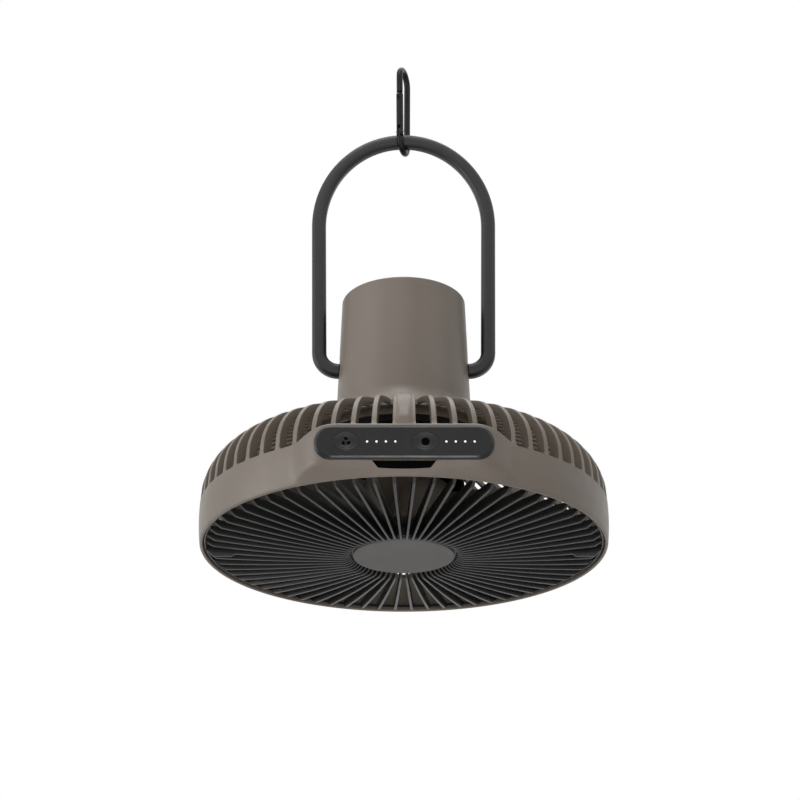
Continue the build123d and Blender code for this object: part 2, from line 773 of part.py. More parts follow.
with BuildPart() as tower_end_cap:
    with BuildSketch(Plane.XY.offset(end_seat_z)):
        Circle(tower_top_r - tower_wall - seat_gap)
    extrude(amount=end_cap_thick)
    fillet(tower_end_cap.faces().sort_by(Axis.Z)[-1].edges(), 0.6)
    with Locations((0, 0, end_seat_z + end_cap_thick)):
        with PolarLocations(end_screw_r, 3, start_angle=90):
            CounterBoreHole(screw_r + seat_gap, screw_head_r + seat_gap, screw_head)
save(tower_end_cap.part, "tower_end_cap")

with BuildPart() as end_cap_screws:
    with BuildSketch(Plane.XY.offset(end_seat_z + end_cap_thick - screw_head)):
        with PolarLocations(end_screw_r, 3, start_angle=90):
            Circle(screw_head_r)
    extrude(amount=screw_head)
    with BuildSketch(Plane.XY.offset(end_seat_z + end_cap_thick - screw_head)):
        with PolarLocations(end_screw_r, 3, start_angle=90):
            Circle(screw_r)
    extrude(amount=-5)
save(end_cap_screws.part, "end_cap_screws")

with BuildPart() as tower_screws:
    with BuildSketch(Plane.XY.offset(ring_under_z - mount_thick)):
        with PolarLocations(ring_screw_r, 4, start_angle=45):
            Circle(screw_head_r)
    extrude(amount=-screw_head)
    with BuildSketch(Plane.XY.offset(ring_under_z - mount_thick)):
        with PolarLocations(ring_screw_r, 4, start_angle=45):
            Circle(screw_r)
    extrude(amount=mount_thick + collar_depth + 5)
save(tower_screws.part, "tower_screws")


# ======== battery, charge board and charging port
with BuildPart() as battery_cells:
    with BuildSketch(Plane.XY.offset(cell_low_z)):
        with GridLocations(cell_pitch, cell_pitch, 2, 2):
            Circle(cell_r)
    extrude(amount=cell_length)
    chamfer(battery_cells.edges().filter_by(GeomType.CIRCLE), 0.6)
save(battery_cells.part, "battery_cells")

for holder_name, holder_z, pocket_z in (
    ("lower_cell_holder", cell_low_z + holder_lap - holder_thick, cell_low_z),
    ("upper_cell_holder", cell_high_z - holder_lap, cell_high_z - holder_lap),
):
    with BuildPart() as holder:
        with BuildSketch(Plane.XY.offset(holder_z)):
            Circle(shell_inner_r(holder_z + holder_thick) - seat_gap)
        extrude(amount=holder_thick)
        with BuildSketch(Plane.XY.offset(pocket_z)):
            with GridLocations(cell_pitch, cell_pitch, 2, 2):
                Circle(cell_r + seat_gap)
        extrude(amount=holder_lap, mode=Mode.SUBTRACT)
        # cable passage beside the cells
        with BuildSketch(Plane.XY.offset(holder_z)):
            with Locations((0, -(cell_pitch / 2 + cell_r + 6))):
                SlotOverall(16, 6)
        extrude(amount=holder_thick, mode=Mode.SUBTRACT)
    save(holder.part, holder_name)

charge_board_y = cell_pitch / 2 + cell_r + 6.5
board_length = cell_length - 2 * holder_lap - 2 * seat_gap
with BuildPart() as charge_board:
    with BuildSketch(Plane.XZ.offset(-charge_board_y)):
        with Locations((0, (cell_low_z + cell_high_z) / 2)):
            Rectangle(36, board_length)
    extrude(amount=-board_thick)
    # a coil and a chip on the side of the cells
    with BuildSketch(Plane.XZ.offset(-charge_board_y)):
        with Locations((-9, cell_low_z + 18), (8, cell_low_z + 22)):
            Rectangle(9, 9)
    extrude(amount=1.2)
save(charge_board.part, "charge_board")

socket_y = charge_board_y + board_thick
socket_end_y = sqrt((tower_r(port_z) - tower_wall) ** 2 - (port_width / 2) ** 2) + 1.0
with BuildPart() as charge_socket:
    with BuildSketch(Plane.XZ.offset(-socket_y)):
        with Locations((0, port_z)):
            RectangleRounded(port_width - 2 * seat_gap, port_height - 2 * seat_gap, 1.5)
    extrude(amount=-(socket_end_y - socket_y))
    with BuildSketch(Plane.XZ.offset(-socket_end_y)):
        with Locations((0, port_z)):
            RectangleRounded(port_width - 1.0, port_height - 1.0, 1.1)
            Rectangle(port_width - 3.0, 0.8, mode=Mode.SUBTRACT)
    extrude(amount=6.5, mode=Mode.SUBTRACT)
save(charge_socket.part, "charge_socket")

flap_y = flap_sink_y + run_gap
with BuildPart() as port_cover:
    with BuildSketch(Plane.XZ.offset(-flap_y)):
        with Locations((0, port_z)):
            RectangleRounded(flap_width, flap_height, 2.7)
    extrude(amount=-flap_thick)
    fillet(port_cover.faces().sort_by(Axis.Y)[-1].edges(), 0.4)
save(port_cover.part, "port_cover")


# ======== bail with its pivots
arch_start = degrees(atan(arch_rise / arch_half * tan(radians(bail_splay))))
leg_top_x = arch_half * cos(radians(arch_start))
leg_top_z = arch_z - arch_rise * sin(radians(arch_start))
corner_x = leg_top_x - (leg_top_z - pivot_z) * tan(radians(bail_splay))
corner_r = (corner_x - stub_x - bail_stub) / tan(radians(45 - bail_splay / 2))

with BuildPart() as bail:
    with BuildLine(Plane.XZ) as bail_line:
        EllipticalCenterArc((0, arch_z), arch_half, arch_rise, -arch_start, arc_size=180 + 2 * arch_start)
        for side in (-1, 1):
            FilletPolyline(
                (side * leg_top_x, leg_top_z),
                (side * corner_x, pivot_z),
                (side * stub_x, pivot_z),
                radius=corner_r,
            )
    with BuildSketch(Plane(origin=(stub_x, 0, pivot_z), x_dir=(0, 1, 0), z_dir=(1, 0, 0))):
        RectangleRounded(bail_depth, bail_width, bail_round)
    sweep(path=bail_line.wires()[0])
    # round pins that pass through the bushes
    for side in (-1, 1):
        with BuildSketch(Plane(origin=(side * stub_x, 0, pivot_z), x_dir=(0, 1, 0), z_dir=(side, 0, 0))):
            Circle(pin_r)
        extrude(amount=-(stub_x - pin_inner_x))
        with BuildSketch(Plane(origin=(side * pin_inner_x, 0, pivot_z), x_dir=(0, 1, 0), z_dir=(side, 0, 0))):
            Circle(screw_r)
        extrude(amount=9, mode=Mode.SUBTRACT)
save(bail.part, "bail")

with BuildPart() as pivot_bushes:
    for side in (-1, 1):
        with BuildSketch(Plane(origin=(side * spot_x, 0, pivot_z), x_dir=(0, 1, 0), z_dir=(side, 0, 0))):
            Circle(pin_r + bush_wall)
            Circle(pin_r + shaft_gap, mode=Mode.SUBTRACT)
        extrude(amount=-bush_length)
        with BuildSketch(Plane(origin=(side * spot_x, 0, pivot_z), x_dir=(0, 1, 0), z_dir=(side, 0, 0))):
            Circle(spot_r - 1.2)
            Circle(pin_r + shaft_gap, mode=Mode.SUBTRACT)
        extrude(amount=washer_thick)
save(pivot_bushes.part, "pivot_bushes")

pivot_washer_thick = 1.2
with BuildPart() as pivot_washers:
    for side in (-1, 1):
        with BuildSketch(Plane(origin=(side * pin_inner_x, 0, pivot_z), x_dir=(0, 1, 0), z_dir=(side, 0, 0))):
            Circle(pin_r + bush_wall + 2)
            Circle(screw_r + seat_gap, mode=Mode.SUBTRACT)
        extrude(amount=-pivot_washer_thick)
save(pivot_washers.part, "pivot_washers")

with BuildPart() as pivot_screws:
    for side in (-1, 1):
        head_x = side * (pin_inner_x - pivot_washer_thick)
        with BuildSketch(Plane(origin=(head_x, 0, pivot_z), x_dir=(0, 1, 0), z_dir=(side, 0, 0))):
            Circle(screw_head_r)
        extrude(amount=-screw_head)
        with BuildSketch(Plane(origin=(head_x, 0, pivot_z), x_dir=(0, 1, 0), z_dir=(side, 0, 0))):
            Circle(screw_r)
        extrude(amount=8)
save(pivot_screws.part, "pivot_screws")


# ======== carabiner: on its plane, local x runs from the gate to the spine and local y is up
hook_low_r = hypot(bail_width / 2 - bail_round, bail_depth / 2 - bail_round) + bail_round + wire_r + 0.56
angle = radians(hook_turn)
hook_plane = Plane(
    origin=(0, 0, arch_top_z), x_dir=(sin(angle), cos(angle), 0), z_dir=(cos(angle), -sin(angle), 0)
)
lean = asin((hook_high_r - hook_low_r) / hook_length)
low_end = (hook_low_r * cos(lean), -hook_low_r * sin(lean))
high_end = (hook_high_r * cos(lean), hook_length - hook_high_r * sin(lean))


def gate_x(height):
    """Local x of the gate's centre line at a height above the lower bend's centre."""
    return -(low_end[0] + (height - low_end[1]) * tan(lean))


wire_low = gate_low - 1.5
wire_high = gate_high + 1.5

with BuildPart() as carabiner_body:
    with BuildLine(hook_plane) as hook_line:
        Line((gate_x(wire_high), wire_high), (-high_end[0], high_end[1]))
        ThreePointArc((-high_end[0], high_end[1]), (0, hook_length + hook_high_r), high_end)
        Line(high_end, low_end)
        ThreePointArc(low_end, (0, -hook_low_r), (-low_end[0], low_end[1]))
        Line((-low_end[0], low_end[1]), (gate_x(wire_low), wire_low))
    with BuildSketch(Plane(origin=hook_line.line @ 0, z_dir=hook_line.line % 0)):
        Circle(wire_r)
    sweep(path=hook_line.wires()[0])
    # flat tongues that enter the slots of the gate
    with BuildSketch(hook_plane):
        with Locations((gate_x(gate_low + 1.2), gate_low + 1.2)):
            Rectangle(2 * wire_r - 0.6, 8.4)
        with Locations((gate_x(gate_high - 1.2), gate_high - 1.2)):
            Rectangle(2 * wire_r - 1.4, 6.6)
    extrude(amount=tongue_thick / 2, both=True)
    with BuildSketch(hook_plane):
        with Locations((gate_x(gate_pin), gate_pin)):
            Circle(pin_thin_r + shaft_gap)
    extrude(amount=2 * wire_r, both=True, mode=Mode.SUBTRACT)
save(carabiner_body.part, "carabiner_body")

with BuildPart() as carabiner_gate:
    with BuildLine(hook_plane) as gate_line:
        Line((gate_x(gate_low), gate_low), (gate_x(gate_high), gate_high))
    with BuildSketch(Plane(origin=gate_line.line @ 0, z_dir=gate_line.line % 0)):
        Circle(gate_r)
    sweep(path=gate_line.wires()[0])
    # slots for the two tongues
    with BuildSketch(hook_plane):
        with Locations((gate_x(gate_low + 2.4), gate_low + 2.4)):
            Rectangle(12, 9.6)
        with Locations((gate_x(gate_high - 2), gate_high - 2)):
            Rectangle(12, 6.2)
    extrude(amount=gate_slot / 2, both=True, mode=Mode.SUBTRACT)
    with BuildSketch(hook_plane):
        with Locations((gate_x(gate_pin), gate_pin)):
            Circle(pin_thin_r + glue_gap)
    extrude(amount=2 * gate_r, both=True, mode=Mode.SUBTRACT)
save(carabiner_gate.part, "carabiner_gate")

with BuildPart() as gate_rivet:
    with BuildSketch(hook_plane):
        with Locations((gate_x(gate_pin), gate_pin)):
            Circle(pin_thin_r)
    extrude(amount=gate_r + 0.3, both=True)
save(gate_rivet.part, "gate_rivet")
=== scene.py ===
import json
from math import asin, atan2, cos, degrees, pi, radians, sin, tan

import bmesh
import bpy
import numpy as np
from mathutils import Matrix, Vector


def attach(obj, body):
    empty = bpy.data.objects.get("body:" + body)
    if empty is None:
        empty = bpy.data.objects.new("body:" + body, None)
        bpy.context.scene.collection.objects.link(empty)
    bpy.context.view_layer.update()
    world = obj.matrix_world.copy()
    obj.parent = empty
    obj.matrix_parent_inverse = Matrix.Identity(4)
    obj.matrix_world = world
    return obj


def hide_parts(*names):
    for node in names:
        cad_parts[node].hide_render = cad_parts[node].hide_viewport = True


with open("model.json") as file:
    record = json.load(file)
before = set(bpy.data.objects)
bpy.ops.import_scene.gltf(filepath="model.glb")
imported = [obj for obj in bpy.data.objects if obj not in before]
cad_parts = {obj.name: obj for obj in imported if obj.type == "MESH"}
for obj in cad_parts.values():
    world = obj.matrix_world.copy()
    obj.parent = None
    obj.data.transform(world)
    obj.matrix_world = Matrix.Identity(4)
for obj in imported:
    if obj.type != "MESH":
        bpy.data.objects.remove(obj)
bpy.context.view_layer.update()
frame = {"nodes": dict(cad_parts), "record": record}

mm = 0.001
scene = bpy.context.scene
print("frame loaded,", len(frame["nodes"]), "nodes")


# small mesh kit: every piece below is points in millimetres and faces
class Build:
    def __init__(self):
        self.points = []
        self.faces = []
        self.soft = []  # edges that the bevel rounds off

    def add(self, rows):
        # rows x columns of points, returns their numbers in the same shape
        rows = np.asarray(rows, float)
        first = len(self.points)
        self.points.extend(rows.reshape(-1, 3).tolist())
        return first + np.arange(rows.shape[0] * rows.shape[1]).reshape(rows.shape[:2])

    def skin(self, numbers, closeRow=False, closeColumn=False, flip=False):
        numbers = np.asarray(numbers)
        if closeRow:
            numbers = np.vstack([numbers, numbers[:1]])
        if closeColumn:
            numbers = np.hstack([numbers, numbers[:, :1]])
        for row, nextRow in zip(numbers[:-1], numbers[1:]):
            for a, b, c, d in zip(row[:-1], row[1:], nextRow[1:], nextRow[:-1]):
                face = list(dict.fromkeys((int(a), int(b), int(c), int(d))))
                if len(face) > 2:
                    self.faces.append(face[::-1] if flip else face)

    def cap(self, loop, flip=False):
        loop = [int(n) for n in loop]
        self.faces.append(loop[::-1] if flip else loop)

    def loft(self, rows, flip=False):
        # rings of points joined into a closed solid
        numbers = self.add(rows)
        self.skin(numbers, closeColumn=True, flip=flip)
        self.cap(numbers[0], flip=not flip)
        self.cap(numbers[-1], flip=flip)

    def stack(self, levels, flip=True):
        # outlines in x and z, each at its own depth
        self.loft([[(x, depth, z) for x, z in outline] for depth, outline in levels], flip)

    def join(self, other, lift=0.0):
        # takes in the shape of another build, raised by lift
        first = len(self.points)
        self.points += [(x, y, z + lift) for x, y, z in other.points]
        self.faces += [[n + first for n in face] for face in other.faces]

    def round(self, loop):
        loop = [int(n) for n in loop]
        self.soft.extend(zip(loop[:-1], loop[1:]))

    def makeObject(self, name):
        mesh = bpy.data.meshes.new(name)
        mesh.from_pydata([(x * mm, y * mm, z * mm) for x, y, z in self.points], [], self.faces)
        mesh.update()
        made = bpy.data.objects.new(name, mesh)
        scene.collection.objects.link(made)
        return made

    def piece(self, name, body, slot, stands=(), finish=None, bevel=0.0, sharp=40, cuts=()):
        piece = self.makeObject(name)
        mesh = piece.data
        if bevel and self.soft:
            wanted = set(tuple(sorted(pair)) for pair in self.soft)
            marks = [1.0 if tuple(sorted(edge.vertices)) in wanted else 0.0 for edge in mesh.edges]
            layer = mesh.attributes.new("bevel_weight_edge", "FLOAT", "EDGE")
            layer.data.foreach_set("value", marks)
        tidy = bmesh.new()
        tidy.from_mesh(mesh)
        bmesh.ops.remove_doubles(tidy, verts=tidy.verts, dist=0.002 * mm)
        bmesh.ops.recalc_face_normals(tidy, faces=tidy.faces)
        tidy.to_mesh(mesh)
        tidy.free()
        if cuts:
            mesh = carve(piece, cuts)
        if bevel:
            rounder = piece.modifiers.new("rounded edges", "BEVEL")
            rounder.width = bevel * mm
            rounder.segments = 2
            rounder.limit_method = "WEIGHT" if self.soft else "ANGLE"
            rounder.angle_limit = radians(sharp)
            rounder.use_clamp_overlap = not self.soft
            rounder.harden_normals = True
        mesh.polygons.foreach_set("use_smooth", [True] * len(mesh.polygons))
        mesh.set_sharp_from_angle(angle=radians(sharp if not bevel else 80))
        mesh.materials.append(finish or finishOfSlot[slot])
        if stands:
            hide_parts(*stands)
        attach(piece, body)


def carve(piece, cuts):
    # takes the cutting shapes out of a piece and keeps the result as its mesh
    tools = [cut.makeObject("cut") for cut in cuts]
    for tool in tools:
        cutter = piece.modifiers.new("cut", "BOOLEAN")
        cutter.operation = "DIFFERENCE"
        cutter.solver = "EXACT"
        cutter.object = tool
    graph = bpy.context.evaluated_depsgraph_get()
    shape = piece.evaluated_get(graph)
    result = bpy.data.meshes.new_from_object(shape, preserve_all_data_layers=True, depsgraph=graph)
    piece.modifiers.clear()
    piece.data = result
    for tool in tools:
        bpy.data.objects.remove(tool)
    return result


def prism(outline, low, high, axis="y"):
    # closed straight shape with an outline in the plane across the x or y axis
    build = Build()
    if axis == "y":
        build.stack([(low, outline), (high, outline)])
    else:
        build.loft([[(depth, a, b) for a, b in outline] for depth in (low, high)])
    return build


def arc(centre, radii, start, end, count):
    # points of an ellipse's arc in the plane of the profile, angles in degrees
    turns = np.radians(np.linspace(start, end, count))
    return [(centre[0] + radii[0] * cos(t), centre[1] + radii[1] * sin(t)) for t in turns]


def tangentArc(start, direction, end, count):
    # the circular arc that leaves start along direction and reaches end
    chord = Vector(end) - Vector(start)
    along = Vector(direction).normalized()
    side = Vector((-along.y, along.x))
    reach = chord.length_squared / (2 * chord.dot(side))
    centre = Vector(start) + side * reach
    first = atan2(start[1] - centre.y, start[0] - centre.x)
    last = atan2(end[1] - centre.y, end[0] - centre.x)
    if reach > 0 and last < first:
        last += 2 * pi
    if reach < 0 and last > first:
        last -= 2 * pi
    return arc(centre, (abs(reach), abs(reach)), degrees(first), degrees(last), count)


def rounded(corners, radius, count=4):
    # an open profile with its inner corners rounded off
    line = [tuple(corners[0])]
    for before, corner, after in zip(corners[:-2], corners[1:-1], corners[2:]):
        corner = Vector(corner)
        back = (Vector(before) - corner).normalized()
        ahead = (Vector(after) - corner).normalized()
        for step in np.linspace(0, 1, count + 1):
            line.append(tuple(corner + back * radius * (1 - step) ** 2 + ahead * radius * step**2))
    return line + [tuple(corners[-1])]


def lathe(build, profile, steps, closed=False):
    # turns a profile of (radius, height) points about the upright axis
    turns = np.arange(steps) * 2 * pi / steps
    rows = [[(r * cos(t), r * sin(t), z) for t in turns] for r, z in profile]
    if closed:
        build.skin(build.add(rows), closeRow=True, closeColumn=True)
    else:
        build.loft(rows)


def sweep(build, path, sections):
    # path: centre, side and up vectors of each station; sections: outline points (side, up)
    build.loft([
        [tuple(centre + side * a + up * b) for a, b in outline]
        for (centre, side, up), outline in zip(path, sections)
    ])


def roundRect(width, height, radius, count=6):
    # outline of a rounded rectangle, anticlockwise
    line = []
    for quarter, (sx, sy) in enumerate(((1, 1), (-1, 1), (-1, -1), (1, -1))):
        centre = (sx * (width / 2 - radius), sy * (height / 2 - radius))
        line += arc(centre, (radius, radius), quarter * 90, quarter * 90 + 90, count)
    return line


def oval(width, height, middle, count=48):
    turns = np.arange(count) * 2 * pi / count
    return [(middle[0] + width / 2 * cos(t), middle[1] + height / 2 * sin(t)) for t in turns]


def circle(radius, middle=(0, 0), count=24):
    return oval(2 * radius, 2 * radius, middle, count)


# shader kit
class Socket:
    def __init__(self, tree, socket):
        self.tree = tree
        self.socket = socket

    def math(self, operation, *others):
        node = self.tree.nodes.new("ShaderNodeMath")
        node.operation = operation
        for index, value in enumerate((self, *others)):
            if isinstance(value, Socket):
                self.tree.links.new(value.socket, node.inputs[index])
            else:
                node.inputs[index].default_value = value
        return Socket(self.tree, node.outputs[0])

    def __add__(self, other):
        return self.math("ADD", other)

    def __mul__(self, other):
        return self.math("MULTIPLY", other)

    def __sub__(self, other):
        return self.math("SUBTRACT", other)

    def __rsub__(self, other):
        return self.math("MULTIPLY_ADD", -1.0, other)

    def __truediv__(self, other):
        return self.math("DIVIDE", other)

    def __rtruediv__(self, other):
        return self.math("POWER", -1.0) * other

    __radd__ = __add__
    __rmul__ = __mul__

    def between(self, low, high):
        # 0 below low and 1 above high
        return ((self - low) / (high - low)).math("MINIMUM", 1.0).math("MAXIMUM", 0.0)


class Nodes:
    # a node tree that is built up from nothing
    def __init__(self, tree):
        self.tree = tree
        tree.nodes.clear()

    def node(self, kind, settings, inputs, out=0):
        node = self.tree.nodes.new(kind)
        for key, value in settings.items():
            setattr(node, key, value)
        for key, value in inputs.items():
            if isinstance(value, Socket):
                self.tree.links.new(value.socket, node.inputs[key])
            else:
                node.inputs[key].default_value = value
        return Socket(self.tree, node.outputs[out]) if node.outputs else None

    def whereSeen(self):
        # 1 where the camera sees a thing itself, in a gloss or through something clear
        rays = ("Camera", "Glossy", "Transmission")
        camera, gloss, clear = [self.node("ShaderNodeLightPath", {}, {}, f"Is {ray} Ray") for ray in rays]
        return camera.math("MAXIMUM", gloss).math("MAXIMUM", clear)


class Finish(Nodes):
    def __init__(self, name):
        self.material = bpy.data.materials.new(name)
        self.material.use_nodes = True
        super().__init__(self.material.node_tree)
        self.place = self.node("ShaderNodeTexCoord", {}, {}, "Object")

    def noise(self, scale, detail, roughness, stretch=None):
        place = self.place
        if stretch:
            place = self.node("ShaderNodeMapping", {}, {"Vector": place, "Scale": stretch})
        inputs = {"Vector": place, "Scale": scale, "Detail": detail, "Roughness": roughness}
        return self.node("ShaderNodeTexNoise", {}, inputs)

    def blend(self, factor, first, second):
        # mixes two colours
        return self.node("ShaderNodeMix", {"data_type": "RGBA"}, {0: factor, 6: first, 7: second}, 2)

    def bump(self, height, depth):
        return self.node("ShaderNodeBump", {}, {"Height": height, "Distance": depth, "Strength": 1.0})

    def surface(self, inputs, plain=0.0):
        # plain is the share of white that the camera sees over the shaded surface
        shader = self.node("ShaderNodeBsdfPrincipled", {}, inputs)
        if plain:
            white = self.node("ShaderNodeEmission", {}, {"Color": (1, 1, 1, 1), "Strength": 1.0})
            shader = self.node("ShaderNodeMixShader", {}, {0: self.whereSeen() * plain, 1: shader, 2: white})
        self.node("ShaderNodeOutputMaterial", {}, {"Surface": shader})
        return self.material


def tint(red, green, blue):
    # a screen colour, 0 to 255, as linear light
    parts = [value / 255 for value in (red, green, blue)]
    return tuple([p / 12.92 if p < 0.04045 else ((p + 0.055) / 1.055) ** 2.4 for p in parts] + [1.0])


def mouldedPlastic(name, colour, shade, rough, depth=20, specular=0.5, coat=0.0):
    # spark-textured moulding: grain (depth in micrometres), faint flow clouds and slightly polished patches
    finish = Finish(name)
    grain = 5200.0
    clouds = finish.noise(22.0, 3.0, 0.55)
    speck = finish.noise(grain * 0.35, 2.0, 0.6)
    mix = (clouds * 0.65 + speck * 0.35).between(0.36, 0.64)
    fine = finish.noise(grain, 2.0, 0.55)
    handled = finish.noise(60.0, 4.0, 0.6)
    return finish.surface(
        {
            "Base Color": finish.blend(mix, shade, colour),
            "Roughness": rough - 0.05 + handled.between(0.3, 0.7) * 0.1 + fine * 0.03,
            "Specular IOR Level": specular,
            "Coat Weight": coat,
            "Normal": finish.bump(fine, depth * 1e-6),
        }
    )


def steel(name, colour, shade, rough, turned=True):
    # plated or turned metal with fine tool marks
    finish = Finish(name)
    marks = finish.noise(900.0, 3.0, 0.6, stretch=(1.0, 1.0, 9.0) if turned else None)
    stain = finish.noise(70.0, 4.0, 0.6)
    return finish.surface(
        {
            "Base Color": finish.blend(stain.between(0.35, 0.7), shade, colour),
            "Metallic": 1.0,
            "Roughness": rough + marks.between(0.3, 0.7) * 0.14 - 0.05,
            "Normal": finish.bump(marks, 0.00001),
        }
    )


def lampWhite():
    # milky light pipe, lit from behind
    finish = Finish("milky lamp plastic")
    cloud = finish.noise(4000.0, 2.0, 0.5)
    glow = finish.blend(cloud, tint(236, 243, 250), tint(255, 255, 255))
    inputs = {"Base Color": glow, "Roughness": 0.3, "Emission Color": glow, "Emission Strength": 0.9}
    return finish.surface(inputs)


# slot: name, colour, shade, roughness, and what differs from the plain kind
plastics = {
    "casing_plastic": ("taupe casing plastic", (118, 107, 96), (112, 102, 91), 0.42, {"specular": 0.56}),
    "grille_plastic": ("black grille plastic", (30, 30, 29), (24, 24, 23), 0.36, {"specular": 0.42}),
    "cap_plastic": ("grey cap plastic", (106, 104, 102), (101, 99, 97), 0.6, {"depth": 10, "specular": 0.25}),
    "panel_plastic": (
        "charcoal panel plastic", (27, 27, 28), (24, 24, 25), 0.2, {"depth": 3, "specular": 0.3}
    ),
    "key_rubber": ("charcoal key rubber", (27, 27, 28), (23, 23, 24), 0.26, {"depth": 4, "specular": 0.28}),
    "key_mark": ("black key mark", (5, 5, 5), (3, 3, 3), 0.8, {"specular": 0.02}),
    "board_plastic": ("green board", (22, 74, 44), (16, 60, 36), 0.35, {"coat": 0.4}),
    # latch: black plastic, made near-black and almost without gloss as painted shade from the panel above it
    "latch_plastic": ("black latch plastic with painted shade", (5, 5, 5), (3, 3, 3), 0.7, {"specular": 0.02}),
    # impeller: dark plastic, made lighter and warmer as painted bounce light from the taupe casing inside the
    # dim housing
    "impeller_plastic": ("impeller plastic with painted bounce light", (92, 83, 75), (85, 77, 69), 0.5, {"specular": 0.2}),
    "mount_plastic": ("black mount plastic", (26, 25, 24), (20, 19, 18), 0.7, {"specular": 0.15}),
    "cell_wrap": ("blue cell wrap", (64, 104, 150), (54, 92, 138), 0.3, {"coat": 0.5}),
    "cover_rubber": ("brown cover rubber", (100, 91, 83), (92, 84, 76), 0.68, {"specular": 0.3}),
    "bail_plastic": (
        "charcoal bail plastic", (34, 33, 34), (29, 28, 29), 0.36, {"depth": 12, "specular": 0.35}
    ),
}
metals = {
    "bright_steel": ("plated steel", (176, 176, 178), (150, 150, 152), 0.28, {}),
    "can_steel": ("dull rotor steel", (120, 120, 122), (98, 98, 100), 0.4, {}),
    "coil_wire": ("enamelled copper", (168, 96, 52), (140, 76, 40), 0.3, {"turned": False}),
    "hook_metal": ("black anodised wire", (42, 42, 44), (34, 34, 36), 0.34, {}),
}
finishOfSlot = {"light_plastic": lampWhite()}
for maker, table in ((mouldedPlastic, plastics), (steel, metals)):
    for slot, (name, colour, shade, rough, others) in table.items():
        finishOfSlot[slot] = maker(name, tint(*colour), tint(*shade), rough, **others)
for row in frame["record"]["subparts"]:
    node = frame["nodes"][row["node"]]
    node.data.materials.clear()
    node.data.materials.append(finishOfSlot[row["material_slot"]])
print("finishes made")


# camera, light and floor
camera = bpy.data.objects.new("camera", bpy.data.cameras.new("camera"))
scene.collection.objects.link(camera)
camera.data.lens = 81.62
camera.data.sensor_width = 36
camera.location = (-0.00244, -1.0896, -0.3777)
camera.rotation_euler = (radians(114.073), 0, 0)
camera.data.clip_start = 0.05
scene.camera = camera
scene.view_settings.view_transform = "Standard"

studio = {
    "sky": 0.08,
    "aim": (0, 0, 0.08),
    "softboxes": {  # place, power and width of each
        "key": ((-0.7, -1.2, 1.5), 2.4, 1.2),
        "left": ((-1.8, -0.5, 0.15), 12.4, 1.3),
        "high left": ((-1.5, -0.9, 1.2), 4.6, 1.3),
        "high right": ((1.3, -1.0, 1.2), 3.3, 1.3),
        "overhead": ((0.0, 0.2, 2.0), 17.0, 2.0),
        "high front": ((-0.12, -1.1, 1.9), 9.5, 0.45),
        "front": ((0.0, -2.2, 0.2), 4.6, 0.6),
        "under": ((0.0, -0.4, -1.05), 2.4, 1.2),
        "low front": ((0.05, -1.7, -0.95), 4.0, 0.42),
    },
    "floorHalf": 4.0,
    "floorHeight": -1.15,
    "floorTones": ((0.78, 0.78, 0.78, 1), (0.82, 0.82, 0.82, 1)),
    "floorWhite": 0.8,  # how much plain white the camera sees on it; the rest keeps the shadow
}


def makeSky(c):
    world = bpy.data.worlds.new("white studio")
    world.use_nodes = True
    scene.world = world
    nodes = Nodes(world.node_tree)
    dim, white = [
        nodes.node("ShaderNodeBackground", {}, {"Color": (1, 1, 1, 1), "Strength": strength})
        for strength in (c["sky"], 1.0)
    ]
    sky = nodes.node("ShaderNodeMixShader", {}, {0: nodes.whereSeen(), 1: dim, 2: white})
    nodes.node("ShaderNodeOutputWorld", {}, {"Surface": sky})


def makeLights(c):
    for name, (place, power, width) in c["softboxes"].items():
        lamp = bpy.data.lights.new(name + " softbox", "AREA")
        lamp.shape = "DISK"
        lamp.size = width
        lamp.energy = power
        holder = bpy.data.objects.new(name + " softbox", lamp)
        holder.location = place
        aim = Vector(c["aim"]) - holder.location
        holder.rotation_euler = aim.to_track_quat("-Z", "Y").to_euler()
        scene.collection.objects.link(holder)


def makeFloor(c):
    finish = Finish("pale studio floor")
    tone = finish.blend(finish.noise(3.0, 3.0, 0.5), *c["floorTones"])
    material = finish.surface({"Base Color": tone, "Roughness": 0.8}, plain=c["floorWhite"])
    mesh = bpy.data.meshes.new("floor")
    half = c["floorHalf"]
    corners = [(x * half, y * half, c["floorHeight"]) for x, y in ((-1, -1), (1, -1), (1, 1), (-1, 1))]
    mesh.from_pydata(corners, [], [(0, 1, 2, 3)])
    mesh.materials.append(material)
    floor = bpy.data.objects.new("floor", mesh)
    scene.collection.objects.link(floor)


makeSky(studio)
makeLights(studio)
makeFloor(studio)
print("studio set")


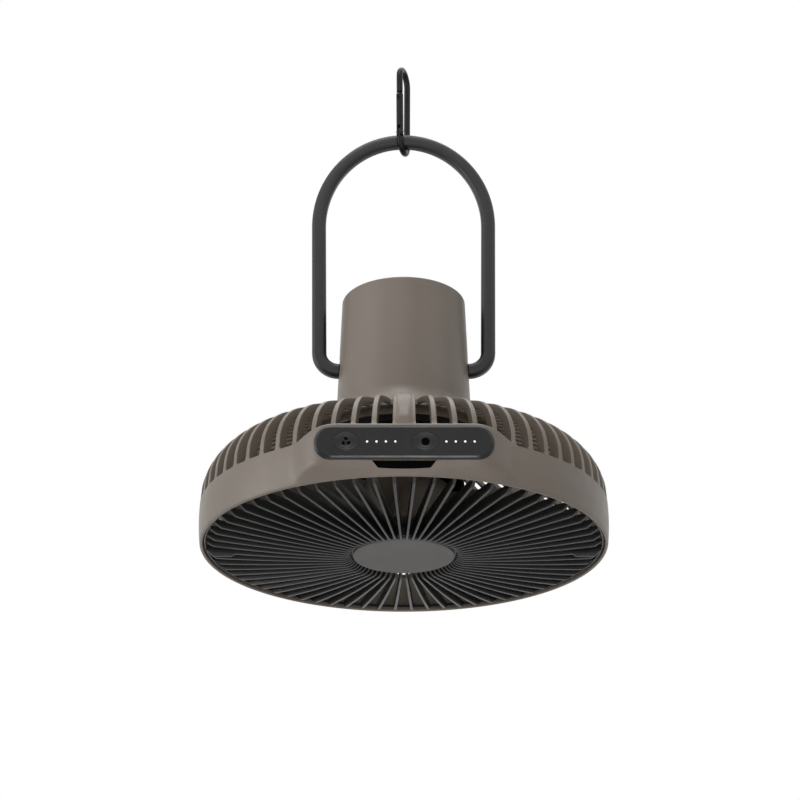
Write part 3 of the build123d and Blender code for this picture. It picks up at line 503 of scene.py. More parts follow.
# casing: band, fins, dome, collar and control pod in one moulding
casing = {
    "lipInner": 127.0,
    "lipOuter": 129.0,
    "lipHeight": 4.2,
    "lipRound": [(127.0, 5.4), (127.12, 4.75), (127.5, 4.32), (128.0, 4.2), (128.5, 4.32), (128.86, 4.7)],
    "sideFoot": 5.3,
    "bandWide": (130.1, 20.0),
    "shoulder": (129.6, 34.2),
    "shoulderHalf": (33.6, 32.4),
    "shoulderEnd": 65.0,
    "depth": 6.5,
    "domeDepth": 4.0,
    "collarDepth": 9.0,
    "ledge": 27.0,
    "collar": (60.0, 82.4),
    "collarMiddle": 46.0,
    "collarInner": 29.9,
    "slotEnd": 66.0,
    "slots": 65,
    "frontGap": 10.0,  # degrees between the two slots beside the wide fin
    "slotShare": 0.745,
    "slotFoot": 30.1,
    "slotCorner": 1.4,
    "podFace": 131.0,
    "podFoot": 12.6,
    "podTop": 36.2,
    "podRound": 1.3,
    "podInward": 4.0,  # the wall behind the panel is thicker by this much
    "podWallFoot": 9.0,
    "podFull": 15.6,  # degrees from the front over which the pod keeps its full height
    "podGone": 32.4,
    "plateHalf": 4.5,
    "plateRise": 0.8,
    "plateStep": 0.25,
    "finMargin": 0.45,  # least width of the wide fin beside its plate
    "finTurn": 0.12,  # radians from the front that belong to the wide fin
    "rows": 34,  # points along each fin
    "cutFront": -140.0,
    "windowBack": -126.0,
    "pocketBack": -124.6,
    "pocketGrip": 0.1,  # the pocket is smaller than the panel by this much, so no gap shows
    "softening": 0.45,
}

panel = {
    "width": 104.0,
    "height": 21.4,
    "middle": 24.0,
    "front": -132.4,
    "back": -127.4,
    "edge": 1.9,
    "bevel": 1.0,
    "bevelTilt": 27.0,
}

latch = {
    "topHalf": 18.3,
    "footHalf": 14.8,
    "top": 12.9,
    "foot": 8.3,
    "bow": 0.6,
    "corner": 0.9,
    "front": -130.2,
    "back": -127.8,
    "gap": 0.25,
    "stem": (12.0, 3.4, 0.5),
    "stemBack": -122.0,
    "stemDown": 2.2,
}


def stadium(width, height, middle):
    # outline of a round-ended bar in x and z, anticlockwise seen from the front
    return [(x, z + middle) for x, z in roundRect(width, height, height / 2 - 0.001, 24)]


def latchOutline(c, grow=0.0):
    # trapezoid with rounded lower corners and a bowed foot
    top = c["top"] + (0.2 if grow else 0.0)
    foot = c["foot"] + c["bow"] - grow
    side = Vector((c["topHalf"] + 1.5 * grow - c["footHalf"] - grow, top - foot)).normalized()
    corner = Vector((c["footHalf"] + grow, foot))
    line = [(c["topHalf"] + 1.5 * grow, top)]
    for step in np.linspace(0, 1, 5):
        near = corner + side * c["corner"] * (1 - step) ** 2
        line.append((near.x - c["corner"] * step**2, near.y))
    inside = c["footHalf"] + grow - c["corner"]
    for share in np.linspace(0.86, -0.86, 13):
        line.append((inside * share, foot - c["bow"] * (1 - share**2)))
    line += [(-x, z) for x, z in reversed(line[:6])]
    return line[::-1]


def casingProfiles(c):
    # outer and inner line of a fin from the band to the end of its slot
    centre = (c["shoulder"][0] - c["shoulderHalf"][0], c["shoulder"][1])
    lines = []
    for inward, down in ((0.0, 0.0), (c["depth"], c["domeDepth"])):
        foot = c["collar"][1] - down
        radii = (c["shoulderHalf"][0] - inward, c["shoulderHalf"][1] - down)
        curve = arc(centre, radii, 0, c["shoulderEnd"], 60)
        turn = radians(c["shoulderEnd"])
        along = (-radii[0] * sin(turn), radii[1] * cos(turn))
        dome = tangentArc(curve[-1], along, (c["collar"][0], foot), 40)
        lines.append((curve, dome))
    return lines


class Line:
    # a profile that can be asked for a point by length, height or radius
    def __init__(self, points):
        self.points = np.array(points, float)
        steps = np.hypot(*np.diff(self.points, axis=0).T)
        self.lengths = np.concatenate([[0], np.cumsum(steps)])

    def at(self, length):
        return (
            np.interp(length, self.lengths, self.points[:, 0]),
            np.interp(length, self.lengths, self.points[:, 1]),
        )

    def byHeight(self, height):
        return float(np.interp(height, self.points[:, 1], self.lengths))

    def byRadius(self, radius):
        return float(np.interp(-radius, -self.points[:, 0], self.lengths))


def makeCasing(c):
    pitch = radians(360 - c["frontGap"]) / (c["slots"] - 1)
    slotHalf = pitch * c["slotShare"] / 2
    (outerCurve, outerDome), (innerCurve, innerDome) = casingProfiles(c)
    # the band's side bulges a little: an arc through three points, near enough a parabola
    baseR, baseZ = c["shoulder"]
    knots = [c["lipHeight"], c["bandWide"][1], baseZ]
    bow = np.polyfit(knots, [c["lipOuter"], c["bandWide"][0], baseR], 2)
    band = [(float(np.polyval(bow, z)), z) for z in np.linspace(c["lipHeight"], baseZ, 40)]
    outer = Line(band + outerCurve[1:] + outerDome[1:])
    insideR = innerCurve[0][0]
    inner = Line([(insideR, c["ledge"])] + innerCurve + innerDome[1:])

    def podShare(turn):
        t = min(max((c["podGone"] - degrees(abs(turn))) / (c["podGone"] - c["podFull"]), 0), 1)
        return t**3 * (6 * t * t - 15 * t + 10)

    # columns around the rim: (turn from the front, rise at the slot's foot, kind)
    columns = []
    thirds = (0.33, 0.67)
    cornerTurns = np.radians(np.linspace(0, 90, 6))
    offsets = [c["slotCorner"] * (1 - cos(t)) / baseR for t in cornerTurns]
    rises = [c["slotCorner"] * (1 - sin(t)) for t in cornerTurns]
    corner = list(zip(offsets, rises, ["edge"] + ["slot"] * 5))
    for k in range(c["slots"]):
        middle = radians(c["frontGap"] / 2) + k * pitch
        edge, far = middle - slotHalf, middle + slotHalf
        columns += [(edge + off, rise, kind) for off, rise, kind in corner]
        foot = far - edge - 2 * offsets[-1]
        columns += [(edge + offsets[-1] + foot * share, 0.0, "slot") for share in thirds]
        columns += [(far - off, rise, kind) for off, rise, kind in reversed(corner)]
        if k < c["slots"] - 1:
            columns += [(far + (pitch - 2 * slotHalf) * share, c["slotCorner"], "fin") for share in thirds]
    # the wide fin above the panel carries a raised plate of constant width
    wide = radians(c["frontGap"]) - 2 * slotHalf
    start = columns[-1][0]
    plate, step = c["plateHalf"], c["plateStep"]
    wideColumns = [("turn", start + wide * share) for share in (0.08, 0.16)]
    wideColumns += [("width", -plate - step), ("raised", -plate + step)]
    wideColumns += [("raised", -plate * 0.4), ("raised", plate * 0.4)]
    wideColumns += [("raised", plate - step), ("width", plate + step)]
    wideColumns += [("turn", start + wide * share) for share in (0.84, 0.92)]
    columns += [(value, c["slotCorner"], kind) for kind, value in wideColumns]
    count = len(columns)

    def placeOf(column, r, z):
        value, rise, kind = column
        if kind in ("width", "raised"):
            value = asin(value / r)
        away = (value + pi) % (2 * pi) - pi
        if kind not in ("width", "raised") and abs(away) < c["finTurn"]:
            # the plate keeps its width, so near the dome the fin's sides step out to it
            least = plate + c["finMargin"] + (degrees(abs(away)) - 1.8) * 0.25
            value = asin(max(r * sin(abs(away)), least) / r) * (1 if away > 0 else -1)
        return (r * sin(value), -r * cos(value), z)

    def turnOf(column):
        value, rise, kind = column
        turn = asin(value / baseR) if kind in ("width", "raised") else value
        return (turn + pi) % (2 * pi) - pi

    def lowerRow(column):
        # from the slot's foot inside, down to the lip and up to the slot's foot outside
        turn = turnOf(column)
        share = podShare(turn)
        rise = column[1]
        foot = c["slotFoot"] + (c["podTop"] - c["slotFoot"]) * share
        low = inner.at(inner.byHeight(foot - 0.8))
        line = [inner.at(inner.byHeight(foot + rise)), low]
        ledge, wallFoot = c["ledge"], c["podWallFoot"]
        wallR = c["lipInner"] - c["podInward"] * share
        line += [(insideR, ledge + (low[1] - ledge) * 0.4), (insideR, ledge + 0.3)]
        line += [(insideR + 0.3, ledge), (wallR - 0.3, ledge), (wallR, ledge - 0.4)]
        line += [(wallR, wallFoot + 0.6), (wallR + 0.3 * share, wallFoot + 0.2)]
        line += [(c["lipInner"] - 0.2 * share, wallFoot), (c["lipInner"], wallFoot - 0.6)]
        line += c["lipRound"]
        faceR = c["podFace"] / cos(turn) if abs(turn) < 1 else c["podFace"]
        plain = []  # heights on the bare band
        pod = []  # points of the pod's section
        sideFoot, podRound = c["sideFoot"], c["podRound"]
        for t in np.linspace(0, 1, 13):
            plain.append(sideFoot + (c["slotFoot"] - 1.0 - sideFoot) * t)
            # the pod swells out of the lip in a soft curve and ends in a rounded top edge
            podZ = sideFoot + (c["podTop"] - podRound - sideFoot) * t
            swell = sin(min((podZ - sideFoot) / (c["podFoot"] - sideFoot), 1) * pi / 2) ** 1.15
            pod.append((np.polyval(bow, podZ) * (1 - swell) + faceR * swell, podZ))
        for t in (0.25, 0.5, 0.75, 1.0):
            plain.append(c["slotFoot"] - 1.0 + 0.7 * t)
            edge = pi / 2 * t
            pod.append((faceR - podRound * (1 - cos(edge)), c["podTop"] - podRound * (1 - sin(edge))))
        plain.append(c["slotFoot"] - 0.15)
        shelfR = outer.at(outer.byHeight(c["podTop"]))[0]
        pod.append((shelfR + (faceR - podRound - shelfR) * 0.5, c["podTop"]))
        for bare, (r, z) in zip(plain, pod):
            bareR = outer.at(outer.byHeight(bare))[0]
            line.append((bareR + (r - bareR) * share, bare + (z - bare) * share))
        line.append((outer.at(outer.byHeight(foot + rise))[0], foot + rise))
        return line

    build = Build()
    lower = [lowerRow(column) for column in columns]
    rows = [[placeOf(column, *line[j]) for column, line in zip(columns, lower)] for j in range(len(lower[0]))]
    lowerIds = build.add(rows)
    build.skin(lowerIds, closeColumn=True, flip=True)

    # fins: outer and inner skin over the shoulder and dome
    finRows = c["rows"]
    endOuter = outer.byRadius(c["slotEnd"])
    endInner = inner.byRadius(c["slotEnd"])

    def finLine(line, end, startLength, raised):
        points = []
        for j in range(1, finRows + 1):
            length = startLength + (end - startLength) * j / finRows
            r, z = line.at(length)
            if raised:
                r1, z1 = line.at(length + 0.05)
                along = Vector((r1 - r, z1 - z)).normalized()
                lift = raised * min(1, finRows - j)
                r, z = r + along.y * lift, z - along.x * lift
            points.append((float(r), float(z)))
        return points

    finIds = {}
    for i, column in enumerate(columns):
        if column[2] == "slot":
            continue
        raised = c["plateRise"] if column[2] == "raised" else 0
        outside = finLine(outer, endOuter, outer.byHeight(lower[i][-1][1]), raised)
        inside = finLine(inner, endInner, inner.byHeight(lower[i][0][1]), 0)
        finIds[i] = [
            [lowerIds[end][i]] + list(build.add([[placeOf(column, *p)] for p in points])[:, 0])
            for end, points in ((-1, outside), (0, inside))
        ]

    for i in range(count):
        j = (i + 1) % count
        if i in finIds and j in finIds and not (columns[i][2] == "edge" and columns[j][2] == "edge"):
            build.skin(np.array([finIds[i][0], finIds[j][0]]))
            build.skin(np.array([finIds[i][1], finIds[j][1]]), flip=True)

    # dome and collar: one strip over all columns
    domeOut = [outer.at(endOuter + (outer.lengths[-1] - endOuter) * share) for share in (0.0, 0.5, 0.86)]
    domeIn = [inner.at(endInner + (inner.lengths[-1] - endInner) * share) for share in (1.0, 0.5, 0.0)]
    collarR, top = c["collar"]
    under = top - c["collarDepth"]
    strip = domeOut + [(collarR - 0.6, top), (c["collarMiddle"], top), (c["collarInner"], top)]
    strip += [(c["collarInner"], under), (c["collarMiddle"], under), (collarR, under)] + domeIn
    upperIds = build.add([[placeOf(column, float(r), float(z)) for column in columns] for r, z in strip])
    for i, (outside, inside) in finIds.items():
        upperIds[0, i], upperIds[-1, i] = outside[-1], inside[-1]
    build.skin(upperIds, closeColumn=True, flip=True)

    # walls of each slot: both fin sides, the foot and the end
    kinds = [kind for value, rise, kind in columns]
    for i in range(count - 1):
        if kinds[i : i + 2] != ["edge", "slot"]:
            continue
        j = kinds.index("edge", i + 1)
        loops = []
        for side, foot, end in ((0, lowerIds[-1], upperIds[0]), (1, lowerIds[0], upperIds[-1])):
            loop = list(foot[i : j + 1]) + finIds[j][side][1:]
            loop += list(end[j - 1 : i : -1]) + finIds[i][side][:0:-1]
            loops.append(loop + loop[:1])
            build.round(loops[-1])
        outLoop, inLoop = loops
        points = np.array(build.points)
        midIds = list(build.add([(points[outLoop[:-1]] + points[inLoop[:-1]]) / 2])[0])
        build.skin(np.array([outLoop, midIds + midIds[:1], inLoop]), flip=True)
    window = prism(latchOutline(latch, latch["gap"]), c["cutFront"], c["windowBack"])
    width, height = panel["width"] - c["pocketGrip"], panel["height"] - c["pocketGrip"]
    pocket = prism(stadium(width, height, panel["middle"]), c["cutFront"], c["pocketBack"])
    shape = {"bevel": c["softening"], "cuts": [window, pocket]}
    build.piece("casing_moulding", "casing", "casing_plastic", ["rear_guard"], **shape)


makeCasing(casing)
print("casing made")


# front grille: ribs, hub, ring and the two grips
grille = {
    "ribs": 66,
    "ribStart": 33.0,
    "capBack": 2.0,
    "crown": (40.0, -1.6),
    "domeRise": 0.000368,
    "slopeStart": 120.7,
    "slopeEnd": (125.4, 6.6),
    "back": 8.0,
    "rootWidth": 1.3,
    "tipWidth": 1.9,
    "crest": 0.28,  # how far the front edges of a rib are softened
    "hub": 34.0,
    "ringOuter": 126.6,
    "ringInner": 125.0,
    "ringFront": 6.0,
    "gripLength": 13.5,
    "gripRise": 2.7,
}


def makeGrille(c):
    build = Build()
    crownR, crownZ = c["crown"]
    apex = crownZ - c["domeRise"] * crownR**2

    def dome(r):
        return apex + c["domeRise"] * r * r

    # front line of a rib: out of the hub, over the crown, along the dome, down the slope
    rootLine = []
    startR, startZ = c["ribStart"], c["capBack"]
    run = crownR - startR
    ahead = (startR + run * 0.16, startZ - run * 0.36)
    before = (crownR - run * 0.4, crownZ - run * 0.4 * 2 * c["domeRise"] * crownR)
    for t in np.linspace(0, 1, 9)[:-1]:
        # cubic from the hub's edge to the crown
        shares = ((1 - t) ** 3, 3 * t * (1 - t) ** 2, 3 * t * t * (1 - t), t**3)
        rootLine.append(tuple(np.dot(shares, ((startR, startZ), ahead, before, c["crown"]))))
    slopeR, slopeZ = c["slopeStart"], dome(c["slopeStart"])
    rootLine += [(r, dome(r)) for r in np.linspace(crownR, slopeR - 1.4, 14)]
    plainLine = rootLine[:-1] + rounded([rootLine[-1], (slopeR, slopeZ), c["slopeEnd"]], 1.3)
    # the grips step out towards the front near the tip
    gripR = slopeR - c["gripLength"]
    gripZ = slopeZ - c["gripRise"]
    knots = [(gripR - 2.0, dome(gripR - 2.0)), (gripR, dome(gripR)), (gripR + 1.8, gripZ)]
    knots += [(slopeR, gripZ), (c["slopeEnd"][0], c["slopeEnd"][1] - 1.5)]
    gripLine = [point for point in rootLine if point[0] < gripR - 2.5] + rounded(knots, 0.8)

    crest = c["crest"]
    for rib in range(c["ribs"]):
        turn = 2 * pi * rib / c["ribs"]
        out = Vector((cos(turn), sin(turn)))
        rows = []
        for r, z in gripLine if rib in (0, c["ribs"] // 2) else plainLine:
            share = (r - c["ribStart"]) / (c["ringOuter"] - c["ribStart"])
            half = (c["rootWidth"] + (c["tipWidth"] - c["rootWidth"]) * share) / 2
            softened = ((0, 1), (0.3, 0.3), (1, 0), (1.6, 0))
            shape = [(half, c["back"])] + [(half - a * crest, z + b * crest) for a, b in softened]
            section = [(-side, height) for side, height in shape] + shape[::-1]
            rows.append([(r * out.x - a * out.y, r * out.y + a * out.x, b) for a, b in section])
        build.loft(rows, flip=True)
    # hub disc behind the cap
    hub = [(0.001, c["capBack"]), (c["hub"], c["capBack"]), (c["hub"], c["back"]), (0.001, c["back"])]
    lathe(build, rounded(hub, 0.5, 3), 132)
    ringIn, ringOut, ringZ = c["ringInner"], c["ringOuter"], c["ringFront"]
    ring = [(ringIn, ringZ + 0.5), (ringIn + 0.15, ringZ + 0.15), (ringIn + 0.5, ringZ)]
    ring += [(ringOut - 0.5, ringZ), (ringOut - 0.15, ringZ + 0.15), (ringOut, ringZ + 0.5)]
    lathe(build, ring + [(ringOut, c["back"]), (ringIn, c["back"])], 264, closed=True)
    build.piece("grille_moulding", "casing", "grille_plastic", ["front_grille"], sharp=50)


makeGrille(grille)
print("grille made")


# cap: plain disc with a softened rim and a fine turned step
cap = {"radius": 32.3, "thick": 2.0, "edge": 0.9, "spigot": 19.4, "spigotEnd": 3.5}


def makeCap(c):
    build = Build()
    rim = arc((c["radius"] - c["edge"], c["edge"]), (c["edge"], c["edge"]), -90, 0, 6)
    profile = [(r, 0.0) for r in (0.001, 8.0, 16.0, 24.0, 29.6)] + rim
    profile += [(c["radius"], c["thick"] - 0.2), (c["radius"] - 0.2, c["thick"]), (c["spigot"], c["thick"])]
    profile += [(c["spigot"], c["spigotEnd"]), (0.001, c["spigotEnd"])]
    lathe(build, profile, 144)
    build.piece("cap_disc", "casing", "cap_plastic", ["grille_cap"], sharp=50)


makeCap(cap)
print("cap made")


# control panel, keys, pictograms and lights
keys = {
    "width": 15.4,
    "height": 11.4,
    "gap": 0.3,
    "play": 0.05,
    "thick": 2.4,
    "stemRadius": 2.0,
    "stemEnd": 3.6,
    "places": {"speed_key": -33.4, "mode_key": 12.2},
    "bodies": {"speed_key": "left_key", "mode_key": "right_key"},
    # share of the width and depth: a crowned top with two shallow rings pressed into it
    "rings": [
        (1.0, 0.3), (0.996, 0.12), (0.985, 0.03), (0.96, 0), (0.86, 0), (0.84, 0.05), (0.82, 0.05), (0.8, 0),
        (0.7, 0), (0.66, 0), (0.64, 0.04), (0.62, 0.04), (0.6, 0), (0.4, 0), (0.15, 0),
    ],
    "markRise": 0.06,
    "dotRadius": 2.35,
    "bladeReach": (1.64, 1.06),
    "bladeSwing": (0.62, 0.22),
}
lights = {"radius": 0.62, "hole": 0.65, "pitch": 5.4, "rows": (-13.2, 32.2), "count": 4}


def lightSpots(c):
    shifts = [(i - (c["count"] - 1) / 2) * c["pitch"] for i in range(c["count"])]
    return [(row + shift, panel["middle"]) for row in c["rows"] for shift in shifts]


def makePanel(c):
    # rounded side, then a flat bevel that runs out into the face
    tilt = radians(c["bevelTilt"])
    drop, run = c["bevel"] * sin(tilt), c["bevel"] * cos(tilt)
    middleDepth = c["front"] + drop + c["edge"] * cos(tilt)
    levels = [(c["back"], 0.0)]
    for turn in np.linspace(pi / 2, tilt, 8):
        levels.append((middleDepth - c["edge"] * cos(turn), c["edge"] * (1 - sin(turn))))
    depth, inset = levels[-1]
    levels += [(depth - drop * share, inset + run * share) for share in (0.06, 0.94, 1.0)]
    levels.append((c["front"], inset + run + 0.1))
    build = Build()
    build.stack([
        (depth, stadium(c["width"] - 2 * inset, c["height"] - 2 * inset, c["middle"]))
        for depth, inset in levels
    ])
    size = (keys["width"] + 2 * keys["gap"], keys["height"] + 2 * keys["gap"])
    holes = [oval(*size, (x, c["middle"])) for x in keys["places"].values()]
    holes += [circle(lights["hole"], spot) for spot in lightSpots(lights)]
    cuts = [prism(hole, c["front"] - 2, c["back"] + 2) for hole in holes]
    build.piece("panel_plate", "casing", "panel_plastic", ["control_panel"], sharp=35, cuts=cuts)


def makeKey(c, name, place):
    build = Build()
    face = panel["front"]
    middle = (place, panel["middle"])
    width, height = [c[side] + 2 * (c["gap"] - c["play"]) for side in ("width", "height")]
    levels = [(1.0, c["thick"])] + c["rings"]
    build.stack([(face + depth, oval(width * share, height * share, middle)) for share, depth in levels])
    # plunger behind it
    build.join(prism(circle(c["stemRadius"], middle), face + c["thick"], face + c["stemEnd"]))
    build.piece(name + "_dome", c["bodies"][name], "key_rubber", [name], sharp=50)


def makeMark(c, name, key, outlines):
    build = Build()
    for outline in outlines:
        build.join(prism(outline, panel["front"] - c["markRise"], panel["front"] + 0.3))
    build.piece(name, c["bodies"][key], "key_rubber", finish=finishOfSlot["key_mark"], sharp=30)


def makeMarks(c):
    # a three-bladed fan on one key, a round dot on the other
    (reach, reachMore), (swing, swingMore) = c["bladeReach"], c["bladeSwing"]
    blades = []
    for turn in np.radians((90, 210, 330)):
        blade = []
        for t in np.linspace(0, 2 * pi, 21)[:-1]:
            r = reach + reachMore * cos(t)
            angle = turn + swing * sin(t) + swingMore * cos(t)
            blade.append((c["places"]["speed_key"] + r * cos(angle), panel["middle"] + r * sin(angle)))
        blades.append(blade)
    makeMark(c, "fan_mark", "speed_key", blades)
    dot = circle(c["dotRadius"], (c["places"]["mode_key"], panel["middle"]), 40)
    makeMark(c, "dot_mark", "mode_key", [dot])


def makeLightPipes(c):
    build = Build()
    face = panel["front"]
    levels = ((1.0, 5.0), (1.0, 0.18), (0.9, 0.05), (0.6, 0.0), (0.25, -0.02))
    for spot in lightSpots(c):
        build.stack([(face + depth, circle(c["radius"] * share, spot, 20)) for share, depth in levels])
    build.piece("light_pipes", "casing", "light_plastic", ["indicator_lights"], sharp=50)


makePanel(panel)
for keyName, keyPlace in keys["places"].items():
    makeKey(keys, keyName, keyPlace)
makeMarks(keys)
makeLightPipes(lights)
print("panel made")


# release latch in its window under the panel
def makeLatch(c):
    build = Build()
    outline = latchOutline(c)
    middle = (c["top"] + c["foot"]) / 2
    front = c["front"]
    levels = ((c["back"], 1.0), (front + 0.35, 1.0), (front + 0.1, 0.985), (front, 0.96))
    build.stack([
        (depth, [(x * (0.5 + share / 2), middle + (z - middle) * share) for x, z in outline])
        for depth, share in levels
    ])
    build.join(prism(roundRect(*c["stem"], 4), c["back"] - 0.2, c["stemBack"]), c["top"] - c["stemDown"])
    build.piece("latch_slide", "latch", "latch_plastic", ["grille_latch"])


makeLatch(latch)
print("latch made")


# tower: flared foot, tapered column, pivot seats and port
tower = {
    "foot": 82.4,
    "flareTop": 102.0,
    "flareRadius": 20.0,
    "baseR": 43.9,
    "topR": 41.2,
    "top": 179.2,
    "wall": 2.6,
    "edge": 1.0,
    "capSeat": 176.0,
    "capShelf": 1.5,
    "pivot": 129.8,
    "spotX": 41.71,
    "spotR": 9.5,
    "bushR": 5.14,
    "port": 151.0,
    "portSeat": (17.6, 11.6, 3.0),
    "portSeatY": 40.69,
    "portHole": (9.4, 3.6),
    "cutInner": 30,
    "cutOuter": 61,
}


def makeTower(c):
    build = Build()
    centreX = c["baseR"] + c["flareRadius"]
    drop = c["flareTop"] - c["foot"]

    def flareLine(reach, turns):
        return [(centreX - reach * cos(t), c["flareTop"] - reach * sin(t)) for t in turns]

    low = c["flareTop"]
    slope = (c["baseR"] - c["topR"]) / (c["top"] - low)
    sides = [(c["baseR"] - slope * (z - low), z) for z in np.linspace(low, c["top"] - 2, 9)]
    mouth = c["topR"] - c["wall"]
    rim = rounded([sides[-1], (c["topR"], c["top"]), (mouth, c["top"])], c["edge"], 5)
    seat, shelf = c["capSeat"], mouth - c["capShelf"]
    inside = [(mouth, seat), (shelf, seat), (shelf, seat - 2), (mouth - 0.1, seat - 3.5)]
    inside.append((c["baseR"] - c["wall"], low))
    reach = c["flareRadius"] + c["wall"]
    inside += flareLine(reach, np.linspace(radians(6), asin((drop - c["wall"]) / reach), 12))
    inside.append((inside[-1][0], c["foot"]))
    flare = flareLine(c["flareRadius"], np.linspace(asin(drop / c["flareRadius"]), 0, 22))
    lathe(build, flare + sides[1:-1] + rim + inside, 192, closed=True)
    cuts = []
    for side in (-1, 1):
        for radius, start, end, count in (
            (c["spotR"], c["spotX"], c["cutOuter"] - 1, 64),
            (c["bushR"], c["cutInner"], c["cutOuter"], 40),
        ):
            hole = circle(radius, (0, c["pivot"]), count)
            cuts.append(prism(hole, *sorted((side * start, side * end)), axis="x"))
    width, height = c["portHole"]
    for outline, start, end in (
        (roundRect(*c["portSeat"], 6), c["portSeatY"], c["cutOuter"] - 1),
        (roundRect(width, height, height / 2 - 0.05, 8), c["cutInner"], c["cutOuter"]),
    ):
        cuts.append(prism([(x, z + c["port"]) for x, z in outline], start, end))
    build.piece("tower_column", "casing", "casing_plastic", ["tower_shell"], bevel=0.22, sharp=32, cuts=cuts)


makeTower(tower)
print("tower made")


# bail: rounded rod bent into an arch, with a pin at each end
bail = {
    "width": 9.6,
    "depth": 8.6,
    "round": 3.2,
    "endRound": 0.35,
    "stubX": 42.51,
    "cornerX": 55.90,
    "cornerRadius": 13.15,
    "pivot": 129.8,
    "archHeight": 240.3,
    "archHalf": 58.1,
    "archRise": 66.9,
    "splay": 1.15,
    "pinRadius": 4.0,
    "pinInner": 36.41,
}


def bend(before, corner, after, radius):
    # two straight runs joined by a true arc
    before, corner, after = Vector(before), Vector(corner), Vector(after)
    back = (before - corner).normalized()
    ahead = (after - corner).normalized()
    half = back.angle(ahead) / 2
    centre = corner + (back + ahead).normalized() * radius / sin(half)
    start = corner + back * radius / tan(half) - centre
    swing = start.angle_signed(corner + ahead * radius / tan(half) - centre)
    across = Vector((-start.y, start.x))
    turns = np.linspace(0, -swing, 12)
    return [before] + [centre + start * cos(t) + across * sin(t) for t in turns] + [after]


def rodPath(points, side, origin, across):
    # stations for a sweep: centre, side and up vectors along a flat upright path
    places = [origin + across * x + Vector((0, 0, z)) for x, z in points]
    stations = []
    for index, place in enumerate(places):
        ahead = places[min(index + 1, len(places) - 1)] - places[max(index - 1, 0)]
        ahead.normalize()
        stations.append((place, side, ahead.cross(side)))
    return stations


def makeBail(c):
    build = Build()
    splay = radians(c["splay"])
    start = atan2(c["archRise"] * sin(splay), c["archHalf"] * cos(splay))
    top = (c["archHalf"] * cos(start), c["archHeight"] - c["archRise"] * sin(start))
    leg = bend((c["stubX"], c["pivot"]), (c["cornerX"], c["pivot"]), top, c["cornerRadius"])
    line = leg[:-1] + [leg[-2].lerp(leg[-1], share) for share in (0.2, 0.4, 0.6, 0.8)]
    mirrored = [(-x, z) for x, z in reversed(line)]
    start = degrees(start)
    line += arc((0, c["archHeight"]), (c["archHalf"], c["archRise"]), -start, 180 + start, 73) + mirrored
    stations = rodPath(line, Vector((0, 1, 0)), Vector((0, 0, 0)), Vector((1, 0, 0)))
    inset = c["endRound"]
    outline = roundRect(c["depth"], c["width"], c["round"], 7)
    small = roundRect(c["depth"] - 2 * inset, c["width"] - 2 * inset, c["round"] - inset, 7)
    first, last = stations[0], stations[-1]
    stations.insert(1, (first[0] + Vector((inset, 0, 0)), *first[1:]))
    stations.insert(-1, (last[0] - Vector((inset, 0, 0)), *last[1:]))
    sweep(build, stations, [small] + [outline] * (len(stations) - 2) + [small])
    for side in (-1, 1):
        rows = []
        for x, share in ((c["stubX"] + 2.0, 1.0), (c["pinInner"] + 0.4, 1.0), (c["pinInner"], 0.9)):
            pin = circle(c["pinRadius"] * share, (0, c["pivot"]), 32)
            rows.append([(side * x, a, b) for a, b in pin])
        build.loft(rows, flip=side < 0)
    build.piece("bail_rod", "handle", "bail_plastic", ["bail"], sharp=50)


makeBail(bail)
print("bail made")


# carabiner: bent wire with a tongue at each end of the gate's gap
hook = {
    "wire": 2.2,
    "endRound": 0.4,
    "lowRadius": 7.90,
    "highRadius": 8.8,
    "length": 50.0,
    "turn": 18.0,
    "seat": 307.2,
    "gateLow": 1.4,
    "gateHigh": 34.8,
    "wireGap": 1.5,
    "tongue": 1.5,
    "tongueEdge": 0.25,
    "tongueRound": 1.2,
    "tongues": ((2.6, 3.8, 8.4), (33.6, 3.0, 6.6)),  # height, width and length
}


def makeHook(c):
    build = Build()
    turn = radians(c["turn"])
    across = Vector((sin(turn), cos(turn), 0))
    normal = Vector((cos(turn), -sin(turn), 0))
    seat = Vector((0, 0, c["seat"]))
    small, large = c["lowRadius"], c["highRadius"]
    lean = asin((large - small) / c["length"])

    def gateX(height):
        return -(small * cos(lean) + (height + small * sin(lean)) * tan(lean))

    heights = [c["gateHigh"] + c["wireGap"], c["gateLow"] - c["wireGap"]]
    line = [(gateX(z), z) for z in (heights[0], heights[0] + 0.4)]
    line += arc((0, c["length"]), (large, large), 180 + degrees(lean), -degrees(lean), 28)
    line += arc((0, 0), (small, small), -degrees(lean), -180 + degrees(lean), 28)
    line += [(gateX(z), z) for z in (heights[1] - 0.4, heights[1])]
    stations = rodPath(line, normal, seat, across)
    outline, end = circle(c["wire"]), circle(c["wire"] - c["endRound"])
    sweep(build, stations, [end] + [outline] * (len(stations) - 2) + [end])
    half, edge = c["tongue"] / 2, c["tongueEdge"]
    for height, width, length in c["tongues"]:
        middle = seat + across * gateX(height) + Vector((0, 0, height))
        rows = []
        for depth, inset in ((-half, edge), (-half + edge, 0), (half - edge, 0), (half, edge)):
            outline = roundRect(width - inset, length - inset, c["tongueRound"], 5)
            rows.append([middle + normal * depth + across * x + Vector((0, 0, y)) for x, y in outline])
        build.loft(rows)
    build.piece("hook_wire", "hook", "hook_metal", ["carabiner_body"], sharp=50)


makeHook(hook)
print("carabiner made")


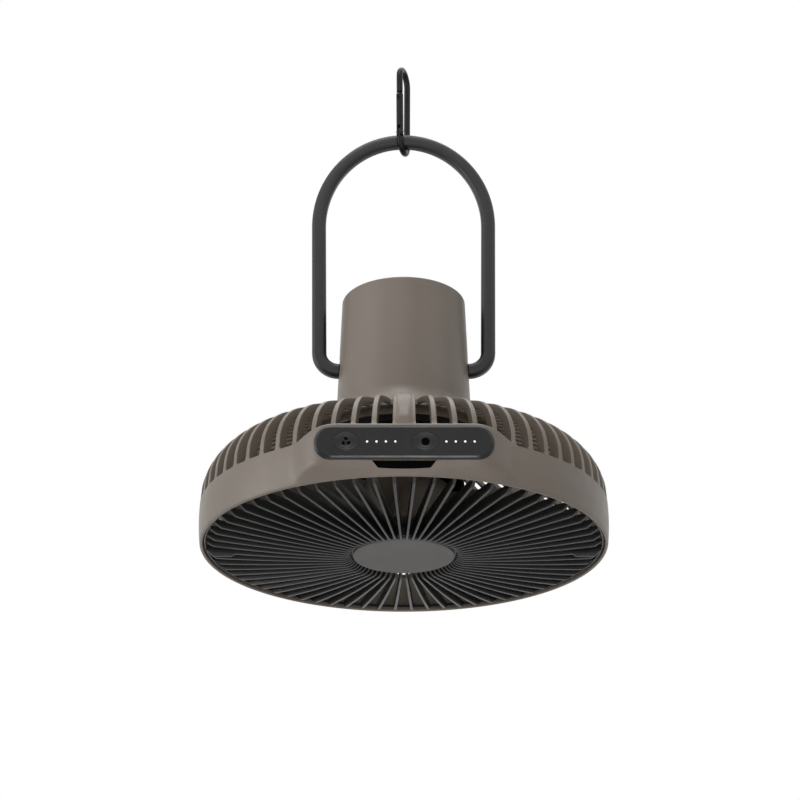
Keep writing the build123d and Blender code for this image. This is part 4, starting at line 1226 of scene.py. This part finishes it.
# impeller: hub bowl and five swept blades
impeller = {
    "hub": 30.0,
    "low": 16.0,
    "high": 46.0,
    "wall": 2.6,
    "floorTop": 22.4,
    "bore": 2.53,
    "recess": (9.0, 21.4, 0.4),  # inner radius, outer radius and depth of the ring in its front
    "round": 4.0,
    "rim": 0.4,
    "blades": 5,
    "bladeZ": 31.5,
    "tipR": 111.6,
    "rootChord": 34.0,
    "tipChord": 58.0,
    "rootPitch": 48.0,
    "tipPitch": 24.0,
    "camber": 3.0,
    "thick": 2.0,
    "tipTrim": 0.16,
}


def makeImpeller(c):
    build = Build()
    low, high, rim = c["low"], c["high"], c["rim"]
    inner = c["hub"] - c["wall"]
    start, end, deep = c["recess"]
    bowl = [(c["bore"], low), (start, low), (start + deep, low + deep), (end - deep, low + deep), (end, low)]
    bowl += arc((c["hub"] - c["round"], low + c["round"]), (c["round"], c["round"]), -90, 0, 8)
    bowl += [(c["hub"], high - rim), (c["hub"] - rim, high), (inner + rim, high), (inner, high - rim)]
    bowl += [(inner, c["floorTop"]), (c["bore"], c["floorTop"])]
    lathe(build, bowl, 96, closed=True)
    rootR = inner + c["wall"] / 2
    for blade in range(c["blades"]):
        turn = 2 * pi * blade / c["blades"] - pi / 2
        out = Vector((cos(turn), sin(turn), 0))
        rows = []
        for share in np.concatenate([np.linspace(0, 0.9, 10), [0.95, 0.985, 1.0]]):
            pitch = radians(c["rootPitch"] + (c["tipPitch"] - c["rootPitch"]) * share)
            trim = max(share - 0.9, 0) / 0.1
            chord = (c["rootChord"] + (c["tipChord"] - c["rootChord"]) * share) * (1 - c["tipTrim"] * trim**3)
            thick = c["thick"] * (1 - 0.25 * share)
            along = Vector((-sin(turn) * cos(pitch), cos(turn) * cos(pitch), sin(pitch)))
            up = out.cross(along)
            outline = []
            for face in (-1, 1):
                for t in np.linspace(face, -face, 13):
                    half = thick / 2 * max(1 - abs(t) ** 5, 0.12)
                    outline.append((t, c["camber"] * (1 - t * t) + c["thick"] / 2 + face * half))
            centre = out * (rootR + (c["tipR"] - rootR) * share) + Vector((0, 0, c["bladeZ"]))
            rows.append([centre + along * (t * chord / 2) + up * h for t, h in outline])
        build.loft(rows)
    build.piece("impeller_moulding", "rotor", "impeller_plastic", ["impeller"], sharp=50)


makeImpeller(impeller)
print("impeller made")
